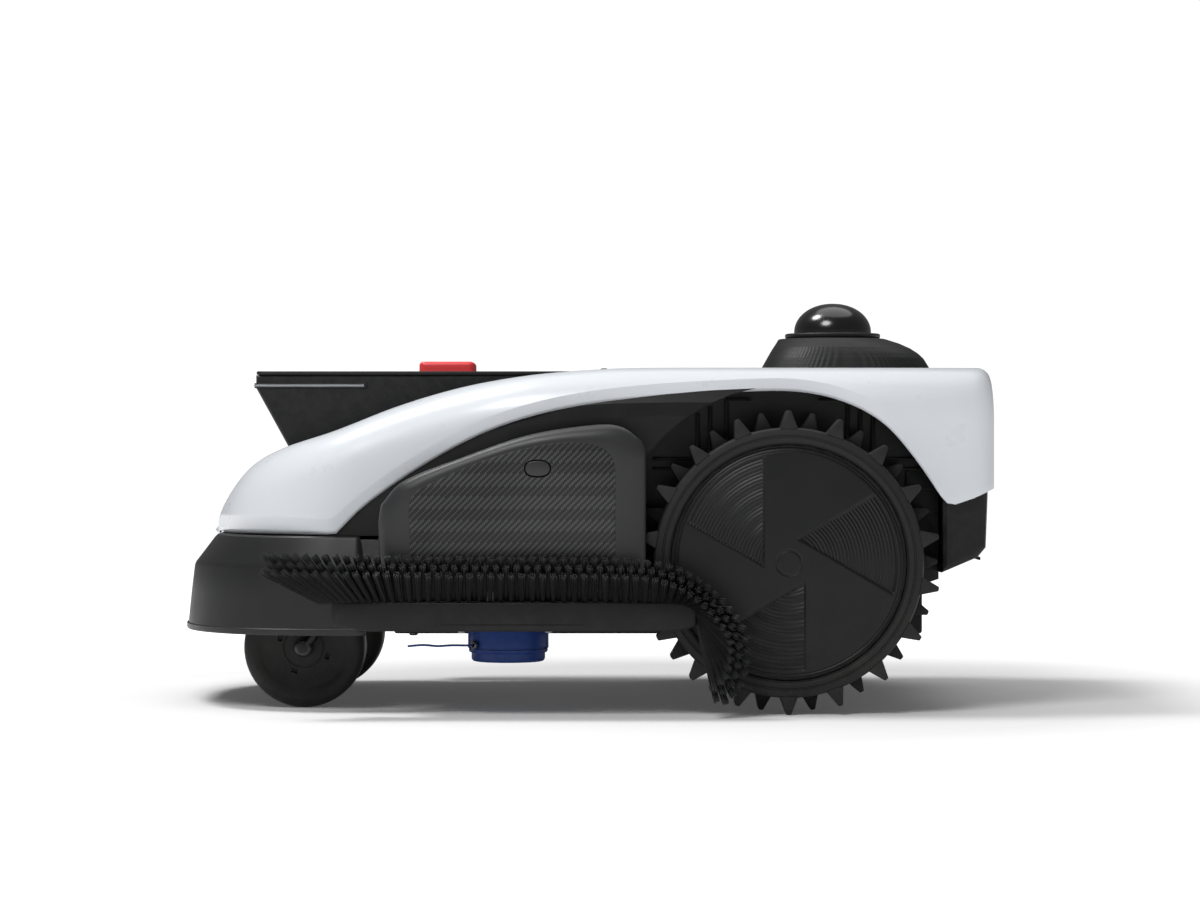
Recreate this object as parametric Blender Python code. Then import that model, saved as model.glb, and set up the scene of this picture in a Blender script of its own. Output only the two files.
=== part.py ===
"""Robotic lawn mower with a lidar dome, an edge trimmer and a side brush.

Metres, +Z up. The nose faces -X and the mower's left side, with the trimmer
and the brush, faces -Y. It stands on z = 0, and its frame is an empty that
centres the whole machine over the origin.
"""
import math

import bmesh
import bpy
from mathutils import Matrix, Vector

# Where the machine's middle plane sits in the part's own frame.
FRAME_SHIFT = Vector((0.0155, 0.0155, 0.0))
GAP = 0.0003

# Body: nose, middle and rear stations along X.
NOSE_X = -0.321
SHOULDER_X = -0.194
REAR_X = 0.312
DECK_Z = 0.2725
NOSE_HALF_WIDTH = 0.172
HALF_WIDTH = 0.190
SHELL_WALL = 0.003
CORNER_RADIUS = 0.034

# Console wedge on top of the hood.
CONSOLE_FRONT_X = -0.2807
CONSOLE_REAR_X = 0.129
CONSOLE_HALF_WIDTH = 0.0895
CONSOLE_TOP_Z = 0.268
LID_THICKNESS = 0.003
LIP_Z = 0.2576
CONSOLE_HEEL = (-0.2534, 0.2081)

# Lidar turret.
LIDAR_X = 0.196
HUMP_BASE_Z = DECK_Z + GAP
HUMP_TOP_Z = 0.3000
DOME_RADIUS = 0.0334
DOME_BASE_Z = 0.3052
DOME_TOP_Z = 0.3303
DOME_WALL = 0.0015

# Drive wheels.
WHEEL_X = 0.1475
WHEEL_Z = 0.119
TYRE_RADIUS = 0.1056
LUG_RADIUS = 0.119
WHEEL_FACE_Y = 0.212
WHEEL_WIDTH = 0.062
LUGS_PER_ROW = 18
LUG_BASE = 0.0135
LUG_TIP = 0.003
RIM_RADIUS = 0.092
CAP_RADIUS = 0.0895
WHEEL_FACETS = 36
ARCH_RADIUS = 0.139
WELL_WALL_Y = 0.1455

# Casters.
CASTER_X = -0.2378
CASTER_Y = 0.117
CASTER_RADIUS = 0.0487
CASTER_WIDTH = 0.036
CASTER_TRAIL = 0.005
ROD_RADIUS = 0.004

# Bumper, wrapped round the nose.
BUMPER_REAR_X = -0.185
BUMPER_TIP_X = -0.344
BUMPER_HALF_WIDTH = 0.180
BUMPER_FULLNESS = 2.6
BUMPER_WALL = 0.003
BUMPER_LEVELS = ((0.060, 0.004), (0.0635, 0.0), (0.116, 0.007), (0.1385, 0.025))

# Cutting system.
DISC_X = -0.020
DISC_RADIUS = 0.080
DISC_Z = 0.0665
DISC_THICKNESS = 0.005
WELL_RADIUS = 0.124
BLADE_COUNT = 3
BLADE_PIVOT_RADIUS = 0.068

# Side pods.
POD_INNER_Y = 0.1855
POD_OUTER_Y = 0.220
POD_WALL = 0.003

# Edge trimmer and side brush on the left.
TRIMMER_X = -0.073
TRIMMER_Y = -0.155
TRIMMER_RADIUS = 0.0322
HOLDER_FRONT_X = -0.208
HOLDER_REAR_X = 0.074
HOLDER_LOW_Z = 0.0665
HOLDER_HIGH_Z = 0.0900
BRUSH_HALF_THICKNESS = 0.0055

SIDES = (("left", -1), ("right", 1))


# The scene is emptied, and everything hangs on one empty frame.
for startup_object in list(bpy.data.objects):
    bpy.data.objects.remove(startup_object, do_unlink=True)
FRAME = bpy.data.objects.new("mower_frame", None)
bpy.context.scene.collection.objects.link(FRAME)
FRAME.location = FRAME_SHIFT


# ---------------------------------------------------------------- helpers


def finish_material(name, colour, roughness, metallic=0.0):
    material = bpy.data.materials.new(name)
    material.use_nodes = True
    shader = material.node_tree.nodes["Principled BSDF"]
    shader.inputs["Base Color"].default_value = (*colour, 1.0)
    shader.inputs["Roughness"].default_value = roughness
    shader.inputs["Metallic"].default_value = metallic
    return material


FINISHES = {
    "white": ((0.86, 0.89, 0.92), 0.30, 0.0),
    "black": ((0.022, 0.022, 0.024), 0.50, 0.0),
    "graphite": ((0.045, 0.046, 0.050), 0.42, 0.0),
    "carbon": ((0.060, 0.061, 0.064), 0.38, 0.0),
    "rubber": ((0.012, 0.012, 0.013), 0.80, 0.0),
    "glass": ((0.010, 0.010, 0.012), 0.06, 0.0),
    "red": ((0.60, 0.045, 0.050), 0.40, 0.0),
    "blue": ((0.012, 0.040, 0.130), 0.42, 0.0),
    "steel": ((0.55, 0.56, 0.58), 0.30, 1.0),
    "copper": ((0.72, 0.45, 0.20), 0.35, 1.0),
    "light": ((0.50, 0.50, 0.52), 0.35, 0.0),
    "board": ((0.020, 0.130, 0.060), 0.55, 0.0),
    "bristle": ((0.010, 0.010, 0.011), 0.70, 0.0),
}


def attach(obj, origin):
    """Puts the object's origin on its joint's axis and hangs it on the frame."""
    obj.data.transform(Matrix.Translation(-Vector(origin)))
    obj.parent = FRAME
    obj.location = Vector(origin)


def make(name, bm, finish, origin=(0.0, 0.0, 0.0), smooth_angle=35.0):
    """Turns a bmesh, modelled in the frame's coordinates, into a named piece."""
    bmesh.ops.recalc_face_normals(bm, faces=bm.faces)
    mesh = bpy.data.meshes.new(name)
    bm.to_mesh(mesh)
    bm.free()
    mesh.shade_smooth()
    mesh.set_sharp_from_angle(angle=math.radians(smooth_angle))
    obj = bpy.data.objects.new(name, mesh)
    bpy.context.scene.collection.objects.link(obj)
    obj.data.materials.append(finish_material(name, *FINISHES[finish]))
    attach(obj, origin)
    return obj


def helper(name, bm):
    """A hidden cutter or an added shape for a Boolean."""
    obj = make(name, bm, "black")
    obj.hide_render = True
    obj.display_type = "WIRE"
    return obj


def boolean(target, other, operation):
    modifier = target.modifiers.new(other.name, "BOOLEAN")
    modifier.operation = operation
    modifier.object = other
    modifier.solver = "EXACT"


def cut(target, *others):
    for other in others:
        boolean(target, other, "DIFFERENCE")


def join(target, *others):
    for other in others:
        boolean(target, other, "UNION")


def block(low, high, bevel=0.0, segments=2):
    bm = bmesh.new()
    bmesh.ops.create_cube(bm, size=1.0)
    size = Vector(high) - Vector(low)
    middle = (Vector(high) + Vector(low)) / 2
    bmesh.ops.scale(bm, vec=size, verts=bm.verts)
    bmesh.ops.translate(bm, vec=middle, verts=bm.verts)
    if bevel:
        bmesh.ops.bevel(bm, geom=list(bm.edges), offset=bevel, segments=segments,
                        profile=0.5, affect="EDGES", clamp_overlap=True, material=-1)
    return bm


def extruded(points, axis, start, end, bevel=0.0, segments=2, far_only=False):
    """An outline extruded along Y or Z. Its points are (x, z) or (x, y)."""
    bm = bmesh.new()
    if axis == "Y":
        verts = [bm.verts.new((x, start, z)) for x, z in points]
        step = Vector((0, end - start, 0))
    else:
        verts = [bm.verts.new((x, y, start)) for x, y in points]
        step = Vector((0, 0, end - start))
    face = bm.faces.new(verts)
    made = bmesh.ops.extrude_face_region(bm, geom=[face])
    moved = [item for item in made["geom"] if isinstance(item, bmesh.types.BMVert)]
    bmesh.ops.translate(bm, vec=step, verts=moved)
    if bevel:
        far = set(moved)
        edges = [e for e in bm.edges if all(v in far for v in e.verts)]
        if not far_only:
            near = set(bm.verts) - far
            edges += [e for e in bm.edges if all(v in near for v in e.verts)]
        bmesh.ops.recalc_face_normals(bm, faces=bm.faces)
        bmesh.ops.bevel(bm, geom=edges, offset=bevel, segments=segments, profile=0.5,
                        affect="EDGES", clamp_overlap=True, material=-1)
    return bm


def turned(profile, centre, axis="Z", steps=32):
    """A closed (radius, height) outline spun round an axis through centre."""
    bm = bmesh.new()
    verts = [bm.verts.new((radius, 0.0, height)) for radius, height in profile]
    edges = [bm.edges.new((a, b)) for a, b in zip(verts, verts[1:] + verts[:1])]
    bmesh.ops.spin(bm, geom=verts + edges, cent=(0, 0, 0), axis=(0, 0, 1),
                   angle=math.tau, steps=steps, use_merge=True)
    bmesh.ops.remove_doubles(bm, verts=bm.verts, dist=1e-6)
    if axis == "Y":
        bmesh.ops.rotate(bm, cent=(0, 0, 0), matrix=Matrix.Rotation(-math.pi / 2, 3, "X"),
                         verts=bm.verts)
    if axis == "X":
        bmesh.ops.rotate(bm, cent=(0, 0, 0), matrix=Matrix.Rotation(math.pi / 2, 3, "Y"),
                         verts=bm.verts)
    bmesh.ops.translate(bm, vec=Vector(centre), verts=bm.verts)
    return bm


def rod(start, end, radius, steps=20):
    """A plain round bar between two points."""
    start, end = Vector(start), Vector(end)
    bm = bmesh.new()
    bmesh.ops.create_cone(bm, cap_ends=True, segments=steps, radius1=radius,
                          radius2=radius, depth=(end - start).length)
    turn = (end - start).to_track_quat("Z", "Y").to_matrix()
    bmesh.ops.rotate(bm, cent=(0, 0, 0), matrix=turn, verts=bm.verts)
    bmesh.ops.translate(bm, vec=(start + end) / 2, verts=bm.verts)
    return bm


def ring_profile(inner, outer, low, high):
    return [(inner, low), (outer, low), (outer, high), (inner, high)]


def loft(sections):
    """A closed body through loops of the same number of points."""
    bm = bmesh.new()
    loops = []
    for section in sections:
        verts = [bm.verts.new(point) for point in section]
        loops.append([bm.edges.new((a, b)) for a, b in zip(verts, verts[1:] + verts[:1])])
    for near, far in zip(loops, loops[1:]):
        bmesh.ops.bridge_loops(bm, edges=near + far)
    for loop in (loops[0], loops[-1]):
        bmesh.ops.contextual_create(bm, geom=loop)
    return bm


def smooth_curve(points, per_span):
    """A Catmull-Rom curve through the points, with per_span steps between two."""
    pts = [Vector(p) for p in points]
    pts = [2 * pts[0] - pts[1]] + pts + [2 * pts[-1] - pts[-2]]
    out = []
    for a, b, c, d in zip(pts, pts[1:], pts[2:], pts[3:]):
        for i in range(per_span):
            t = i / per_span
            out.append(0.5 * ((2 * b) + (c - a) * t + (2 * a - 5 * b + 4 * c - d) * t * t
                              + (3 * b - a - 3 * c + d) * t ** 3))
    out.append(pts[-2])
    return [tuple(p) for p in out]


def value_at(curve, x):
    """The second coordinate of a curve that runs along the first."""
    if x <= curve[0][0]:
        return curve[0][1]
    for (x0, z0), (x1, z1) in zip(curve, curve[1:]):
        if x <= x1:
            return z0 + (z1 - z0) * (x - x0) / max(x1 - x0, 1e-9)
    return curve[-1][1]


# ---------------------------------------------------------------- body

# Top line of the body at mid width, (x, z).
TOP_LINE = smooth_curve(
    [(-0.321, 0.139), (-0.3180, 0.1520), (-0.3060, 0.1712), (-0.2835, 0.1942),
     (-0.2560, 0.2085), (-0.2122, 0.2226), (-0.1620, 0.2420), (-0.1102, 0.2570),
     (-0.0560, 0.2665), (0.0, 0.2712), (0.050, 0.2725), (0.180, 0.2725), (0.312, 0.2725)], 4)

# Lower edge of the white side walls, from the bumper over the wheel to the tail, (x, z).
ARCH_LINE = smooth_curve(
    [(-0.2100, 0.1400), (-0.1846, 0.1642), (-0.1420, 0.1935), (-0.0904, 0.2210),
     (-0.0350, 0.2382), (0.0300, 0.2478), (0.1126, 0.2530), (0.1577, 0.2528),
     (0.1938, 0.2443), (0.2240, 0.2270), (0.2480, 0.2000), (0.2685, 0.1704)], 3)

# Pod outline, from its lower front corner over the top to the lower rear corner, (x, z).
POD_LINE = (
    [(-0.1720, 0.0960), (-0.1733, 0.1500)]
    + smooth_curve([(-0.1711, 0.1640), (-0.1525, 0.1831), (-0.1065, 0.2015),
                    (-0.0558, 0.2187), (-0.0051, 0.2265), (0.0169, 0.2251),
                    (0.0321, 0.2146)], 4)
    + [(0.0359, 0.2070), (0.0359, 0.0960)]
)


def half_width_at(x, inset=0.0):
    """Half the body's width, round at the nose and straight behind it."""
    if x < SHOULDER_X:
        reach = SHOULDER_X - (NOSE_X + inset)
        along = min((SHOULDER_X - x) / reach, 1.0)
        return (NOSE_HALF_WIDTH - inset) * math.sqrt(max(1.0 - along ** 2, 1e-4))
    swell = min((x - SHOULDER_X) / 0.15, 1.0)
    swell = swell * swell * (3 - 2 * swell)
    return NOSE_HALF_WIDTH + (HALF_WIDTH - NOSE_HALF_WIDTH) * swell - inset


def body_section(x, inset, floor_z, corner_steps=5):
    """A loop across the body: flat crown, round corners and upright sides."""
    width = half_width_at(x, inset)
    top = value_at(TOP_LINE, x - inset * 0.5) - inset
    radius = min(CORNER_RADIUS, 0.92 * (top - floor_z), 0.92 * width)
    side = []
    for i in range(corner_steps + 1):
        turn = math.pi / 2 * i / corner_steps
        side.append((width - radius + radius * math.cos(turn),
                     top - radius + radius * math.sin(turn)))
    right = [(width, floor_z)] + side
    loop = right + [(-y, z) for y, z in reversed(right)]
    return [(x, y, z) for y, z in loop]


def body_loft(inset, floor_z, rear_x):
    """The body's outer form, moved inwards by inset, with a flat floor."""
    nose = NOSE_X + inset
    reach = SHOULDER_X - nose
    front = [SHOULDER_X - reach * math.cos(math.pi / 2 * i / 7) for i in range(7)]
    front[0] = nose + 0.0006
    middle = [SHOULDER_X + (0.050 - SHOULDER_X) * i / 6 for i in range(7)]
    stations = front + middle + [0.12, 0.20, rear_x - 0.012]
    sections = [body_section(x, inset, floor_z) for x in stations]
    tail = [(rear_x, y * 0.965, z - (0.0045 if z > DECK_Z - 0.02 else 0.0))
            for _, y, z in sections[-1]]
    return loft(sections + [tail])


def console_outline(margin=0.0, heel_drop=0.0):
    """Side view of the console wedge, or of the opening that it needs."""
    heel_x, heel_z = CONSOLE_HEEL
    return [
        (CONSOLE_FRONT_X - margin, CONSOLE_TOP_Z + (0.04 if margin else 0.0)),
        (CONSOLE_FRONT_X - margin, LIP_Z - margin),
        (heel_x - margin, heel_z - 1.5 * margin),
        (heel_x + 0.0034 - margin, heel_z - 0.0055 - margin - heel_drop),
        (CONSOLE_REAR_X + margin, 0.2330 - margin - heel_drop),
        (CONSOLE_REAR_X + margin, CONSOLE_TOP_Z + (0.04 if margin else 0.0)),
    ]


def arch_cutter(name):
    """Everything below the white side walls' lower edge."""
    outline = ARCH_LINE + [(0.2762, 0.1640), (0.2850, 0.1650), (0.3400, 0.1860)]
    outline += [(0.3400, 0.0200), (-0.4000, 0.0200), (-0.4000, 0.1400)]
    return helper(name, extruded(outline, "Y", -0.30, 0.30))


def white_shell():
    shell = make("white_shell", body_loft(0.0, 0.120, REAR_X), "white")
    inside = helper("shell_inside", body_loft(SHELL_WALL, 0.100, REAR_X - SHELL_WALL))
    opening = helper("console_opening", extruded(console_outline(GAP, 0.02), "Y",
                     -CONSOLE_HALF_WIDTH - 2 * GAP, CONSOLE_HALF_WIDTH + 2 * GAP))
    cut(shell, inside, arch_cutter("arch_opening"), opening)
    return shell


def main_housing():
    """Dark inner body with the wheel wells, open underneath."""
    housing = make("main_housing", body_loft(SHELL_WALL + 0.0015, 0.100, 0.262), "black")
    inside = helper("housing_inside", body_loft(SHELL_WALL + 0.0045, 0.080, 0.259))
    under = helper("housing_front_under", extruded(
        [(-0.40, 0.05), (-0.163, 0.05), (-0.163, 0.139), (-0.40, 0.139)], "Y", -0.3, 0.3))
    pocket = helper("console_pocket", extruded(console_outline(2 * GAP, 0.0), "Y",
                    -CONSOLE_HALF_WIDTH - 3 * GAP, CONSOLE_HALF_WIDTH + 3 * GAP))
    for side, sign in SIDES:
        well = helper("wheel_well_" + side, rod(
            (WHEEL_X, sign * WELL_WALL_Y, WHEEL_Z), (WHEEL_X, sign * 0.25, WHEEL_Z),
            ARCH_RADIUS, 40))
        liner = helper("well_liner_" + side, rod(
            (WHEEL_X, sign * (WELL_WALL_Y - 0.003), WHEEL_Z),
            (WHEEL_X, sign * 0.26, WHEEL_Z), ARCH_RADIUS + 0.003, 40))
        cut(inside, liner)
        shaft = helper("shaft_hole_" + side, rod(
            (WHEEL_X, sign * 0.13, WHEEL_Z), (WHEEL_X, sign * 0.16, WHEEL_Z), 0.0115, 24))
        cut(housing, well, shaft)
    cut(housing, inside, under, pocket)
    return housing


def chassis():
    """Lower tray with the blade well and the front deck for the casters."""
    tray = make("chassis", block((-0.165, -0.1415, 0.060), (0.258, 0.1415, 0.098), 0.002), "black")
    hollow = helper("tray_hollow", block((-0.161, -0.1375, 0.064), (0.254, 0.1375, 0.12)))
    well = helper("tray_well", rod((DISC_X, 0, 0.05), (DISC_X, 0, 0.08), WELL_RADIUS + 0.0045, 36))
    hatch = helper("tray_hatch", block((0.1195, -0.0505, 0.05), (0.2305, 0.0505, 0.08)))
    wall = helper("front_wall", block((-0.1645, -0.10, 0.070), (-0.1605, 0.10, 0.131)))
    deck = helper("front_deck", block((-0.268, -0.142, 0.1255), (-0.150, 0.142, 0.1325), 0.003))
    notch = helper("trimmer_notch", rod((TRIMMER_X, TRIMMER_Y, 0.05), (TRIMMER_X, TRIMMER_Y, 0.12),
                   TRIMMER_RADIUS + 0.0025, 36))
    cut(tray, hollow, well, hatch, notch)
    join(tray, wall, deck)
    for side, sign in SIDES:
        hole = helper("bush_hole_" + side, rod(
            (CASTER_X + CASTER_TRAIL, sign * CASTER_Y, 0.11),
            (CASTER_X + CASTER_TRAIL, sign * CASTER_Y, 0.15), 0.0108, 24))
        cut(tray, hole)
        slot = helper("motor_slot_" + side, block(
            (WHEEL_X - 0.034, sign * 0.145 - 0.012, 0.0830),
            (WHEEL_X + 0.034, sign * 0.145 + 0.012, 0.12)))
        cut(tray, slot)
    return tray


def cutting_deck():
    """Upturned pan above the blades."""
    inner, outer, top = WELL_RADIUS, WELL_RADIUS + 0.003, 0.0985
    profile = [(outer, 0.0605), (outer, top), (0.0315, top), (0.0315, top - 0.003),
               (inner, top - 0.003), (inner, 0.0605)]
    return make("cutting_deck", turned(profile, (DISC_X, 0, 0), steps=36), "graphite")


def rear_cover():
    outline = [(0.2700, 0.1100), (0.2985, 0.1222), (0.3050, 0.1300), (0.3066, 0.1720),
               (0.3066, 0.1990), (0.2700, 0.1990)]
    inner = [(0.2600, 0.1130), (0.2975, 0.1255), (0.3022, 0.1320), (0.3034, 0.2100),
             (0.2600, 0.2100)]
    cover = make("rear_cover", extruded(outline, "Y", -0.178, 0.178, 0.004, 2), "black")
    cut(cover, helper("rear_inside", extruded(inner, "Y", -0.1745, 0.1745)))
    return cover


# ---------------------------------------------------------------- console

LID_TOP_Z = CONSOLE_TOP_Z + GAP + LID_THICKNESS
STOP_X = -0.128
STOP_HALF = 0.0232
KEY_X = -0.012
KEY_Y = 0.020
KEY_RADIUS = 0.008
DISPLAY = ((-0.092, -0.034), (-0.032, 0.034))


def console_housing():
    body = make("console_housing", extruded(console_outline(), "Y", -CONSOLE_HALF_WIDTH,
                CONSOLE_HALF_WIDTH, 0.0015, 1), "black")
    inner = [(-0.2770, 0.2590), (-0.2500, 0.2070), (0.1260, 0.2360), (0.1260, 0.30),
             (-0.2760, 0.30)]
    cut(body, helper("console_hollow", extruded(inner, "Y", -0.0865, 0.0865)))
    return body


def console_lid():
    lid = make("console_lid", block(
        (CONSOLE_FRONT_X, -CONSOLE_HALF_WIDTH, CONSOLE_TOP_Z + GAP),
        (CONSOLE_REAR_X, CONSOLE_HALF_WIDTH, LID_TOP_Z), 0.0007, 1), "black")
    edge = STOP_HALF + 0.0005
    cut(lid, helper("stop_hole", block((STOP_X - edge, -edge, 0.26), (STOP_X + edge, edge, 0.29))))
    for side, sign in SIDES:
        cut(lid, helper("key_hole_" + side, rod((KEY_X, sign * KEY_Y, 0.26),
                        (KEY_X, sign * KEY_Y, 0.28), KEY_RADIUS + 0.0004, 24)))
    low, high = DISPLAY
    cut(lid, helper("display_recess", block((low[0] - GAP, low[1] - GAP, LID_TOP_Z - 0.0018),
                    (high[0] + GAP, high[1] + GAP, 0.28))))
    return lid


def console_controls():
    low, high = DISPLAY
    make("display_window", block((*low, LID_TOP_Z - 0.0015), (*high, LID_TOP_Z + 0.0002), 0.0003, 1),
         "glass")
    stop = block((STOP_X - STOP_HALF, -STOP_HALF, 0.2640), (STOP_X + STOP_HALF, STOP_HALF, 0.2810),
                 0.0030, 2)
    make("stop_button", stop, "red", (STOP_X, 0, 0.2725))
    for name, sign in (("key_start", -1), ("key_home", 1)):
        profile = [(0, 0.2660), (KEY_RADIUS, 0.2660), (KEY_RADIUS, 0.2723), (0.0066, 0.2730),
                   (0, 0.2730)]
        make(name, turned(profile, (KEY_X, sign * KEY_Y, 0), steps=24), "graphite",
             (KEY_X, sign * KEY_Y, 0.2723))
    profile = [(0, LID_TOP_Z + GAP), (0.0032, LID_TOP_Z + GAP), (0.0032, 0.2742),
               (0.0022, 0.2756), (0, 0.2760)]
    make("rain_sensor", turned(profile, (0.0035, 0, 0), steps=20), "steel")


def light_bar():
    """A strip that wraps the console's front below the lid."""
    outer_y, inner_y = CONSOLE_HALF_WIDTH + 0.0021, CONSOLE_HALF_WIDTH + GAP
    rear = -0.192
    outline = [(rear, -outer_y), (rear, -inner_y), (CONSOLE_FRONT_X - GAP, -inner_y),
               (CONSOLE_FRONT_X - GAP, inner_y), (rear, inner_y), (rear, outer_y),
               (CONSOLE_FRONT_X - 0.0021, outer_y), (CONSOLE_FRONT_X - 0.0021, -outer_y)]
    return make("light_bar", extruded(outline, "Z", 0.2585, 0.2606), "light")


def camera_window():
    """A dark glass strip on the console's slanted front."""
    lip, heel = Vector((CONSOLE_FRONT_X, LIP_Z)), Vector(CONSOLE_HEEL)
    along = (heel - lip).normalized()
    out = Vector((along.y, -along.x))
    if out.x > 0:
        out = -out
    first, last = lip + along * 0.010, lip + along * 0.044
    outline = [tuple(p) for p in (first + out * GAP, last + out * GAP,
                                  last + out * 0.0020, first + out * 0.0020)]
    return make("camera_window", extruded(outline, "Y", -0.062, 0.062), "glass")


# ---------------------------------------------------------------- lidar

def hump_loop(front, rear, half_width, z, steps=24, fullness=3.2):
    middle, half = (front + rear) / 2, (rear - front) / 2
    loop = []
    for i in range(steps):
        turn = math.tau * i / steps
        c, s = math.cos(turn), math.sin(turn)
        loop.append((middle + half * math.copysign(abs(c) ** (2 / fullness), c),
                     half_width * math.copysign(abs(s) ** (2 / fullness), s), z))
    return loop


def lidar_hump():
    levels = [(0.1350, 0.2765, 0.074, HUMP_BASE_Z, 3.6), (0.1405, 0.2710, 0.071, 0.2830, 3.4),
              (0.1455, 0.2600, 0.065, 0.2920, 3.0), (0.1505, 0.2400, 0.052, HUMP_TOP_Z, 2.4)]
    sections = [hump_loop(f, r, w, z, 32, n) for f, r, w, z, n in levels]
    return make("lidar_hump", loft(sections), "graphite")


def lidar_turret():
    top = HUMP_TOP_Z + GAP
    collar = [(0.012, top), (0.0400, top), (0.0400, 0.3035), (0.0375, 0.3049), (0.012, 0.3049)]
    make("lidar_collar", turned(collar, (LIDAR_X, 0, 0), steps=28), "black")
    centre_z = DOME_TOP_Z - DOME_RADIUS
    low = math.asin((DOME_BASE_Z - centre_z) / DOME_RADIUS)
    outer, inner = [], []
    for i in range(7):
        turn = low + (math.pi / 2 - low) * i / 6
        outer.append((DOME_RADIUS * math.cos(turn), centre_z + DOME_RADIUS * math.sin(turn)))
        reach = DOME_RADIUS - DOME_WALL
        inner.append((reach * math.cos(turn), centre_z + reach * math.sin(turn)))
    outer[-1], inner[-1] = (0.0, DOME_TOP_Z), (0.0, DOME_TOP_Z - DOME_WALL)
    inner[0] = (inner[0][0], DOME_BASE_Z)
    profile = outer + inner[::-1]
    make("lidar_dome", turned(profile, (LIDAR_X, 0, 0), steps=28), "glass")
    rotor = [(0, 0.3060), (0.0240, 0.3060), (0.0240, 0.3080), (0.0165, 0.3090), (0.0165, 0.3230),
             (0, 0.3230)]
    make("lidar_rotor", turned(rotor, (LIDAR_X, 0, 0), steps=28), "graphite",
         (LIDAR_X, 0, 0.3060))


# ---------------------------------------------------------------- bumper and casters

def bumper_loop(inset, z, shrink, steps=22):
    """Half a rounded nose in plan, from the right rear corner to the left one."""
    reach = SHOULDER_X - BUMPER_TIP_X - shrink - inset
    half = BUMPER_HALF_WIDTH - shrink * 0.4 - inset
    rear_x = BUMPER_REAR_X - shrink * 0.2
    loop = [(rear_x, half, z)]
    for i in range(steps + 1):
        turn = math.pi / 2 - math.pi * i / steps
        c, s = math.cos(turn), math.sin(turn)
        loop.append((SHOULDER_X - reach * abs(c) ** (2 / BUMPER_FULLNESS),
                     half * math.copysign(abs(s) ** (2 / BUMPER_FULLNESS), s), z))
    loop.append((rear_x, -half, z))
    return loop


def front_bumper():
    """A hard wrap-round bumper: outer skin, top shelf and inner skin."""
    sections = []
    for z, shrink in BUMPER_LEVELS:
        outer = bumper_loop(0.0, z, shrink)
        inner = bumper_loop(BUMPER_WALL, z, shrink)
        sections.append(outer + inner[::-1])
    bumper = make("front_bumper", loft(sections), "black", (BUMPER_REAR_X, 0, 0.100))
    shelf = bumper_loop(0.0006, 0.0, 0.0255)
    plate = helper("bumper_shelf", extruded([p[:2] for p in shelf], "Z", 0.1360, 0.1384))
    join(bumper, plate)
    return bumper


def casters():
    for side, sign in SIDES:
        pivot_x, y = CASTER_X + CASTER_TRAIL, sign * CASTER_Y
        bush = ring_profile(0.0063, 0.0104, 0.1130, 0.1340)
        flanged = [bush[0], (0.0150, 0.1130), (0.0150, 0.1250), (0.0104, 0.1250), bush[2], bush[3]]
        make("caster_bush_" + side, turned(flanged, (pivot_x, y, 0), steps=24), "graphite")
        fork = make("caster_fork_" + side, rod((pivot_x, y, 0.1050), (pivot_x, y, 0.1345), 0.0058),
                    "steel", (pivot_x, y, 0.1200))
        outer_y = y + sign * (CASTER_WIDTH / 2 + 0.0065)
        shoulder = (pivot_x + 0.004, outer_y, 0.0985)
        bend = helper("caster_rod_" + side, rod_path(
            [(pivot_x, y, 0.1100), (pivot_x, y + sign * 0.008, 0.1060),
             (pivot_x + 0.003, outer_y - sign * 0.005, 0.1040), shoulder,
             (pivot_x + 0.010, outer_y, 0.0850), (pivot_x + 0.004, outer_y, 0.0600),
             (CASTER_X + 0.001, outer_y - sign * 0.0006, CASTER_RADIUS + 0.0015)],
            ROD_RADIUS))
        pin = helper("caster_pin_" + side, rod(
            (CASTER_X, outer_y + sign * 0.003, CASTER_RADIUS),
            (CASTER_X, y - sign * (CASTER_WIDTH / 2 - 0.004), CASTER_RADIUS), 0.0040))
        join(fork, bend, pin)
        half = CASTER_WIDTH / 2
        profile = [(0.0044, -half + 0.002), (0.0170, -half + 0.002), (0.0380, -half + 0.004),
                   (0.0410, -half), (0.0455, -half), (CASTER_RADIUS, -half + 0.004),
                   (CASTER_RADIUS, half - 0.004), (0.0455, half), (0.0410, half),
                   (0.0380, half - 0.004), (0.0170, half - 0.002), (0.0044, half - 0.002)]
        make("caster_wheel_" + side,
             turned(profile, (CASTER_X, y, CASTER_RADIUS), "Y", steps=28), "rubber",
             (CASTER_X, y, CASTER_RADIUS))


def rod_path(points, radius):
    """A bent round bar through the points."""
    centre = smooth_curve(points, 3)
    sections = []
    for i, point in enumerate(centre):
        ahead = Vector(centre[min(i + 1, len(centre) - 1)])
        behind = Vector(centre[max(i - 1, 0)])
        along = (ahead - behind).normalized()
        across = along.cross(Vector((1, 0, 0))).normalized()
        up = across.cross(along).normalized()
        sections.append([Vector(point) + radius * (math.cos(a) * across + math.sin(a) * up)
                         for a in (math.tau * k / 8 for k in range(8))])
    return loft(sections)


# ---------------------------------------------------------------- drive wheels

def lug_outline(phase):
    """Tyre outline with triangular lugs, as (x, z) about the axle."""
    points = []
    step = math.tau / LUGS_PER_ROW
    base_half = LUG_BASE / 2 / TYRE_RADIUS
    tip_half = LUG_TIP / 2 / LUG_RADIUS
    for i in range(LUGS_PER_ROW):
        middle = phase + step * i
        for turn, radius in ((middle - base_half, TYRE_RADIUS), (middle - tip_half, LUG_RADIUS),
                             (middle + tip_half, LUG_RADIUS), (middle + base_half, TYRE_RADIUS),
                             (middle + step / 2, TYRE_RADIUS)):
            points.append((WHEEL_X + radius * math.cos(turn), WHEEL_Z + radius * math.sin(turn)))
    return points


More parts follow.
